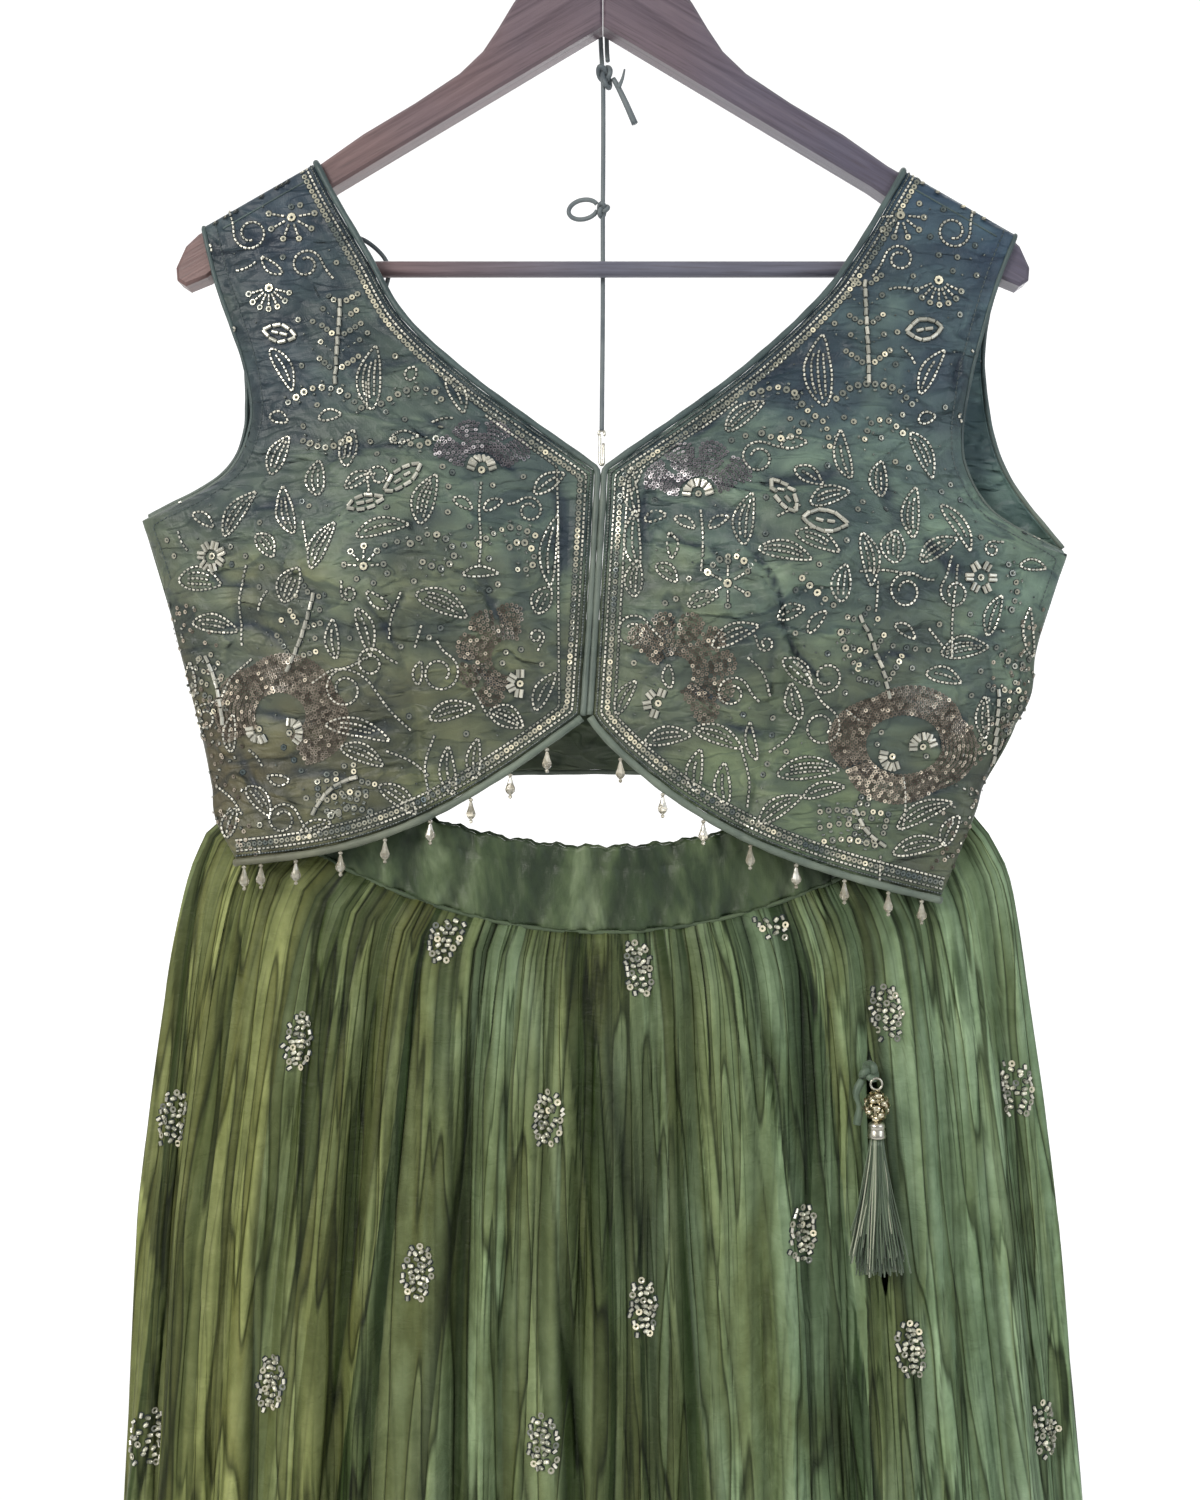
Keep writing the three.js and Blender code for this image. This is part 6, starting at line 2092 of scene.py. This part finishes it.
def sew_borders(needle, grid, inside):
    """Rows along the neck, the centre front and the hem, and one more along the hem alone."""
    front_edge, hem = flat_of(grid[:, 0]), flat_of(grid[-1])
    edge = np.vstack([front_edge, hem[1:]])
    for distance, *row in BORDERS:
        needle.border(inset(edge, distance, inside), *row)
    needle.border(clear_of(inset(edge, 9.4, inside), front_edge, 10.5), "cut", 2.3, 0.2, 0.9, 1.0)


def shoulder_seam(side, needle, shoulder, inside):
    """A narrow ridge beside the shoulder's edge."""
    touched = [needle.touch(*place) for place in inset(shoulder, 6.2, inside)[6:-6]]
    line = np.array([place + out * 0.1 * MM for place, out in filter(None, touched)])
    line = smooth_line(line[::5])
    cord_piece(f"choli_{side}_shoulder_seam", line, 0.42 * MM, "edge", "silk_satin", sides=6)


def shoulder_frays(side, needle, shoulder):
    """Loose threads that stand up from the shoulder, with a sequin here and there."""
    frays = []
    for start in spaced(shoulder, 3.1)[2:-2]:
        for _ in range(chance.choice((0, 1, 1, 2))):
            rise, swing = chance.uniform(1.2, 3.4), chance.uniform(-1.6, 1.6)
            x, down = start[0] + chance.uniform(-1.2, 1.2), start[1]
            foot, middle = (x, down + 1.5, 0), (x + 0.2 * swing, down - 0.4 * rise, 0.4)
            tip = (x + swing, down - rise, swing * 0.4)
            frays.append(smooth_line(spots(foot, middle, tip), per_span=3))
        if chance.random() < 0.3:
            needle.part(start + np.array([0, 1.6]), (1, 0.3), "sequin", (0.4, 1.0), 0.9, 0.5)
    thread_piece(f"choli_{side}_shoulder_frays", frays, 0.16 * MM, "thread")


def embroider(side):
    grid, sign = panels[side]["points"], SIGNS[side]
    needle = Needle(outer_tree(grid, panels[side]["normals"], CHOLI_WALL / 2))
    inside = (sign * MIDDLE[0], MIDDLE[1])
    shoulder = flat_of(grid[0])
    sew_borders(needle, grid, inside)
    shoulder_seam(side, needle, shoulder, inside)
    shoulder_frays(side, needle, shoulder)
    arm = flat_of(grid[: int(ARMHOLE_SHARE * len(grid)), -1])
    needle.row(inset(arm, 5.5, inside), "stitch", 2.6, (0.1, 0.5))
    sew(needle, PATTERNS[side])
    left_end, right_end = sorted(sign * across for across in FILLED)
    needle.seam_fill(SEAM_TRIES, sign, 412, 548)
    needle.sprigs(SPRIG_TRIES, (left_end, 215), (right_end, 540))
    needle.scatter(LOOSE_TRIES, (left_end, 205), (right_end, 545))
    needle.build(f"choli_front_{side}")
    # Nearness to the embroidery: the satin paints shadow round the beads from it, and puckers the cloth there.
    paint(panels[side]["piece"], "near_embroidery", np.tile(nearness(grid, needle.used), 2))


for side in SIGNS:
    embroider(side)
paint(panels["back"]["piece"], "near_embroidery", np.zeros(2 * panels["back"]["points"].size // 3))


# ---------- flowerets on the skirt ----------
# Columns of bead clusters: share of the half width, first distance down and the distance to the next.
CLUSTERS = (
    (-0.96, 679, 165), (-0.70, 636, 171), (-0.40, 583, 168), (-0.125, 673, 163),
    (0.09, 598, 172), (0.445, 573, 162), (0.67, 621, 173), (0.95, 664, 175),
)
CLUSTER = {"wide": 13, "tall": 28, "rows": 9}
BEHIND_DROP = 41  # how much lower the clusters behind are
CLUSTER_KINDS = {
    "seed": (bead(2.6, 1.15, 1.3), "seedlight", "crystal"),
    "sequin": (sequin(1.8), "sequin", "sequin"),
    "cut": (bead(2.3, 0.8), "bugle", "crystal"),
    # knot: dark patches of thread and painted shadow under the beads.
    "knot": (pad(), "shadow", "silk_thread"),
}
UP = np.array([0.0, 0.0, 1.0])
cluster_parts = {kind: Trim(shape) for kind, (shape, *_) in CLUSTER_KINDS.items()}


def fall_at(share, down):
    return (down - WAIST["topDown"] + WAIST["rise"] * share**2 - SKIRT_TOP) / SKIRT_LENGTH


def turn_at(share, behind):
    turn = math.asin(math.sin(share * math.asin(SECTION["square"])) / SECTION["square"])
    return math.pi - turn if behind else turn


def skirt_spot(share, down, behind):
    """The place and outward direction on the skirt's folds at a share of its half width."""
    turn, fall = turn_at(share, behind), fall_at(share, down)
    before, at, after = skirt_points(np.array([[turn - 0.01, turn, turn + 0.01]]), np.array([[fall]]))[0][0]
    return at, unit(np.cross(unit(after - before), UP))


def cluster(share, down, behind):
    """A small floweret: curved rows of beads round a few sequins, on a slightly uneven oval."""
    half_width = float(np.interp(fall_at(share, down), SKIRT["fall"], (SKIRT["right"] + SKIRT["left"]) / 2))
    lean = chance.uniform(-0.1, 0.1)
    for i in range(CLUSTER["rows"]):
        t = (i + 0.5) / CLUSTER["rows"]
        reach = CLUSTER["wide"] / 2 * (math.sin(math.pi * (0.12 + 0.80 * t)) ** 0.7)
        count = max(2, int(reach * 2 / 3.1) + 1)
        for k in range(count):
            x = (k / (count - 1) - 0.5) * 2 * reach + chance.uniform(-0.9, 0.9)
            y = (t - 0.5) * CLUSTER["tall"] - 2.2 * (1 - (x / (reach + 1)) ** 2) + chance.uniform(-0.7, 0.7)
            if fall_at(share, down + y) < 0.003:
                continue
            place, out = skirt_spot(share + (x + lean * y) / half_width, down + y, behind)
            kind = "sequin" if (i * 3 + k) % 5 == 1 else "cut" if k in (0, count - 1) else "seed"
            a = chance.uniform(-0.9, 0.9) + (0.0 if kind == "seed" else 1.3)
            way = unit(np.cross(UP, out)) * math.cos(a) + UP * math.sin(a)
            cluster_parts[kind].add(place + out * 0.6 * MM, way, out, chance.uniform(0.25, 1.0))
            # A dark patch of thread and painted shadow under each bead.
            if kind != "sequin":
                cluster_parts["knot"].add(place + out * 0.5 * MM, way, out, chance.random(), (1.9, 3.0, 1.0))


for behind in (False, True):
    for share, first, step in CLUSTERS:
        count = int((SKIRT_LENGTH + WAIST["topDown"] - first) / step) + 1
        here = -share if behind else share
        for k in range(count):
            down = first + k * step + (BEHIND_DROP if behind else 0) + chance.uniform(-3, 3)
            at_side = behind and abs(share) > 0.9
            if not at_side and fall_at(here, down + CLUSTER["tall"]) < 0.99:
                cluster(here, down, behind)
for kind, (_, look, slot) in CLUSTER_KINDS.items():
    cluster_parts[kind].build(f"skirt_flowerets_{kind}", look, slot, smooth=kind == "seed")


# ---------- tassel ----------
TASSEL_FOOT = 746
CAP_PROFILE = (
    (1.0, 672.8), (2.6, 673.2), (4.1, 674.6), (4.3, 676.0), (3.9, 676.6),
    (4.3, 677.4), (4.4, 679.6), (4.7, 680.4), (4.5, 681.4), (3.2, 681.7),
)
BALL = {"down": 665.4, "radius": 5.1, "beads": 30}
GOLDEN = 2.39996  # the turn, in radians, that spreads points evenly
STRANDS = 330


def tassel_cap():
    cap = turned(CAP_PROFILE, 28, np.array(spot(TASSEL["across"], 0, TASSEL["back"])))
    return finish_piece(joined("tassel_silver_cap", [cap], LOOK["antique"]), "steel", "tassel_cap")


def tassel_ball():
    """Gilt beads round a small egg."""
    beads = Trim(bead(3.1, 1.7, 1.4, 8))
    centre = np.array(spot(TASSEL["across"], BALL["down"], TASSEL["back"]))
    for i in range(BALL["beads"]):
        z = 1 - 2 * (i + 0.5) / BALL["beads"]
        a = i * GOLDEN
        out = np.array([math.cos(a) * math.sqrt(1 - z * z), math.sin(a) * math.sqrt(1 - z * z), z * 1.25])
        way = np.cross(out, (0.0, 0.0, 1.0)) + np.array([1e-3, 0, 0])
        beads.add(centre + out * BALL["radius"] * MM * 0.8, way, out, chance.uniform(0.2, 1.0))
    made = beads.build("tassel_bead_cluster", "gilt", "steel", True)
    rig.replaces(made, "tassel_bead_ball")
    return made


def strand(i):
    """The line of one silk strand. A few end higher up, and a few curl more."""
    angle = i * GOLDEN
    ring = math.sqrt((i + 0.5) / STRANDS)
    spread = 1 + 0.12 * chance.gauss(0, 1)
    foot = TASSEL_FOOT + chance.uniform(-8, 4) - (11 if chance.random() < 0.14 else 0)
    wide, thick = 13.4 * spread, 4.6
    curl = chance.uniform(-1.6, 1.6) * (2.6 if chance.random() < 0.22 else 1)
    rows = []
    for t in np.linspace(0, 1, 8):
        grow = t**1.25
        x = TASSEL["across"] + math.cos(angle) * ring * mix(3.2, wide, grow)
        y = TASSEL["back"] - 3 * grow + math.sin(angle) * ring * mix(3.0, thick, grow)
        rows.append((x + curl * math.sin(t * 5 + i) * 0.5 * t, mix(681.2, foot, t), y))
    return smooth_line(spots(*rows), per_span=2)


on_the_tie += [tassel_cap(), tassel_ball()]
strands = [strand(i) for i in range(STRANDS)]
thread_piece("tassel_silk_strands", strands, 0.36 * MM, "silk", "tassel_silk", sides=4)
declare_cord(tie_cord, tie_line, "knot", on_the_tie)


# ---------- floor and light ----------
FLOOR_DROP = 0.06
ROOM = 6.5
COVE = 2.6
# Name, place, what it aims at, size, power in watts and colour.
LIGHTS = (
    ("key", (-1.3, -1.5, 0.35), (0, 0, -0.75), 0.9, 30, (1.0, 0.97, 0.92)),
    ("fill", (1.6, -1.3, 0.1), (0, 0, -0.6), 1.2, 12, (0.84, 0.92, 1.0)),
    ("back", (0.4, 1.8, 0.3), (0, 0, -0.7), 1.6, 14, (1.0, 1.0, 1.0)),
)


def studio_backdrop():
    """A pale floor that curves up into a wall behind the garment."""
    s = Surface("studio backdrop", roughness=0.85, Emission_Strength=0.62)
    s.colour(s.palette(s.noise(0.8), (0.3, 0.78, 0.78, 0.78), (0.7, 0.82, 0.82, 0.82)))
    glow = s.palette(s.span(s.axis("Y"), 0.6, 3.2), (0.0, 0.05, 0.05, 0.05), (1.0, 1.0, 1.0, 1.0))
    s.feed(s.shader.inputs["Emission Color"], glow)
    floor_level = cad_box[0][2] - FLOOR_DROP
    turns = np.linspace(0, math.pi / 2, 25)
    profile_y = [-ROOM, 0, *(ROOM - COVE + COVE * np.sin(turns)), ROOM]
    profile_z = [0, 0, *(COVE - COVE * np.cos(turns)), 2 * ROOM]
    points = [(x, y, floor_level + z) for y, z in zip(profile_y, profile_z) for x in (-ROOM, ROOM)]
    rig.stage(mesh_object("studio_backdrop", points, [grid_faces(len(profile_y), 2)], s.material))


def sky():
    """White light from all round, strongest from above."""
    world = bpy.data.worlds.new("studio")
    world.use_nodes = True
    nodes, links = world.node_tree.nodes, world.node_tree.links
    background = nodes["Background"]
    background.inputs["Color"].default_value = (1.0, 1.0, 1.0, 1)
    heading = nodes.new("ShaderNodeTexCoord")
    upward = nodes.new("ShaderNodeSeparateXYZ")
    strength = nodes.new("ShaderNodeMapRange")
    for label, number in (("From Min", -1.0), ("From Max", 1.0), ("To Min", 0.07), ("To Max", 0.68)):
        strength.inputs[label].default_value = number
    links.new(heading.outputs["Generated"], upward.inputs[0])
    links.new(upward.outputs["Z"], strength.inputs["Value"])
    links.new(strength.outputs["Result"], background.inputs["Strength"])
    scene.world = world


def soft_light(name, place, aim, size, power, colour):
    data = bpy.data.lights.new(name, "AREA")
    data.shape = "RECTANGLE"
    data.size = data.size_y = size
    data.energy = power
    data.color = colour
    made = bpy.data.objects.new(name, data)
    made.location = place
    made.rotation_euler = (Vector(aim) - Vector(place)).to_track_quat("-Z", "Y").to_euler()
    scene.collection.objects.link(made)


studio_backdrop()
sky()
for light in LIGHTS:
    soft_light(*light)
scene.view_settings.view_transform = "Standard"

with open(SIZE_FILE, "w") as size_file:
    json.dump({"cad": cad_box, "visual": [list(corner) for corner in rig.bounds()]}, size_file)
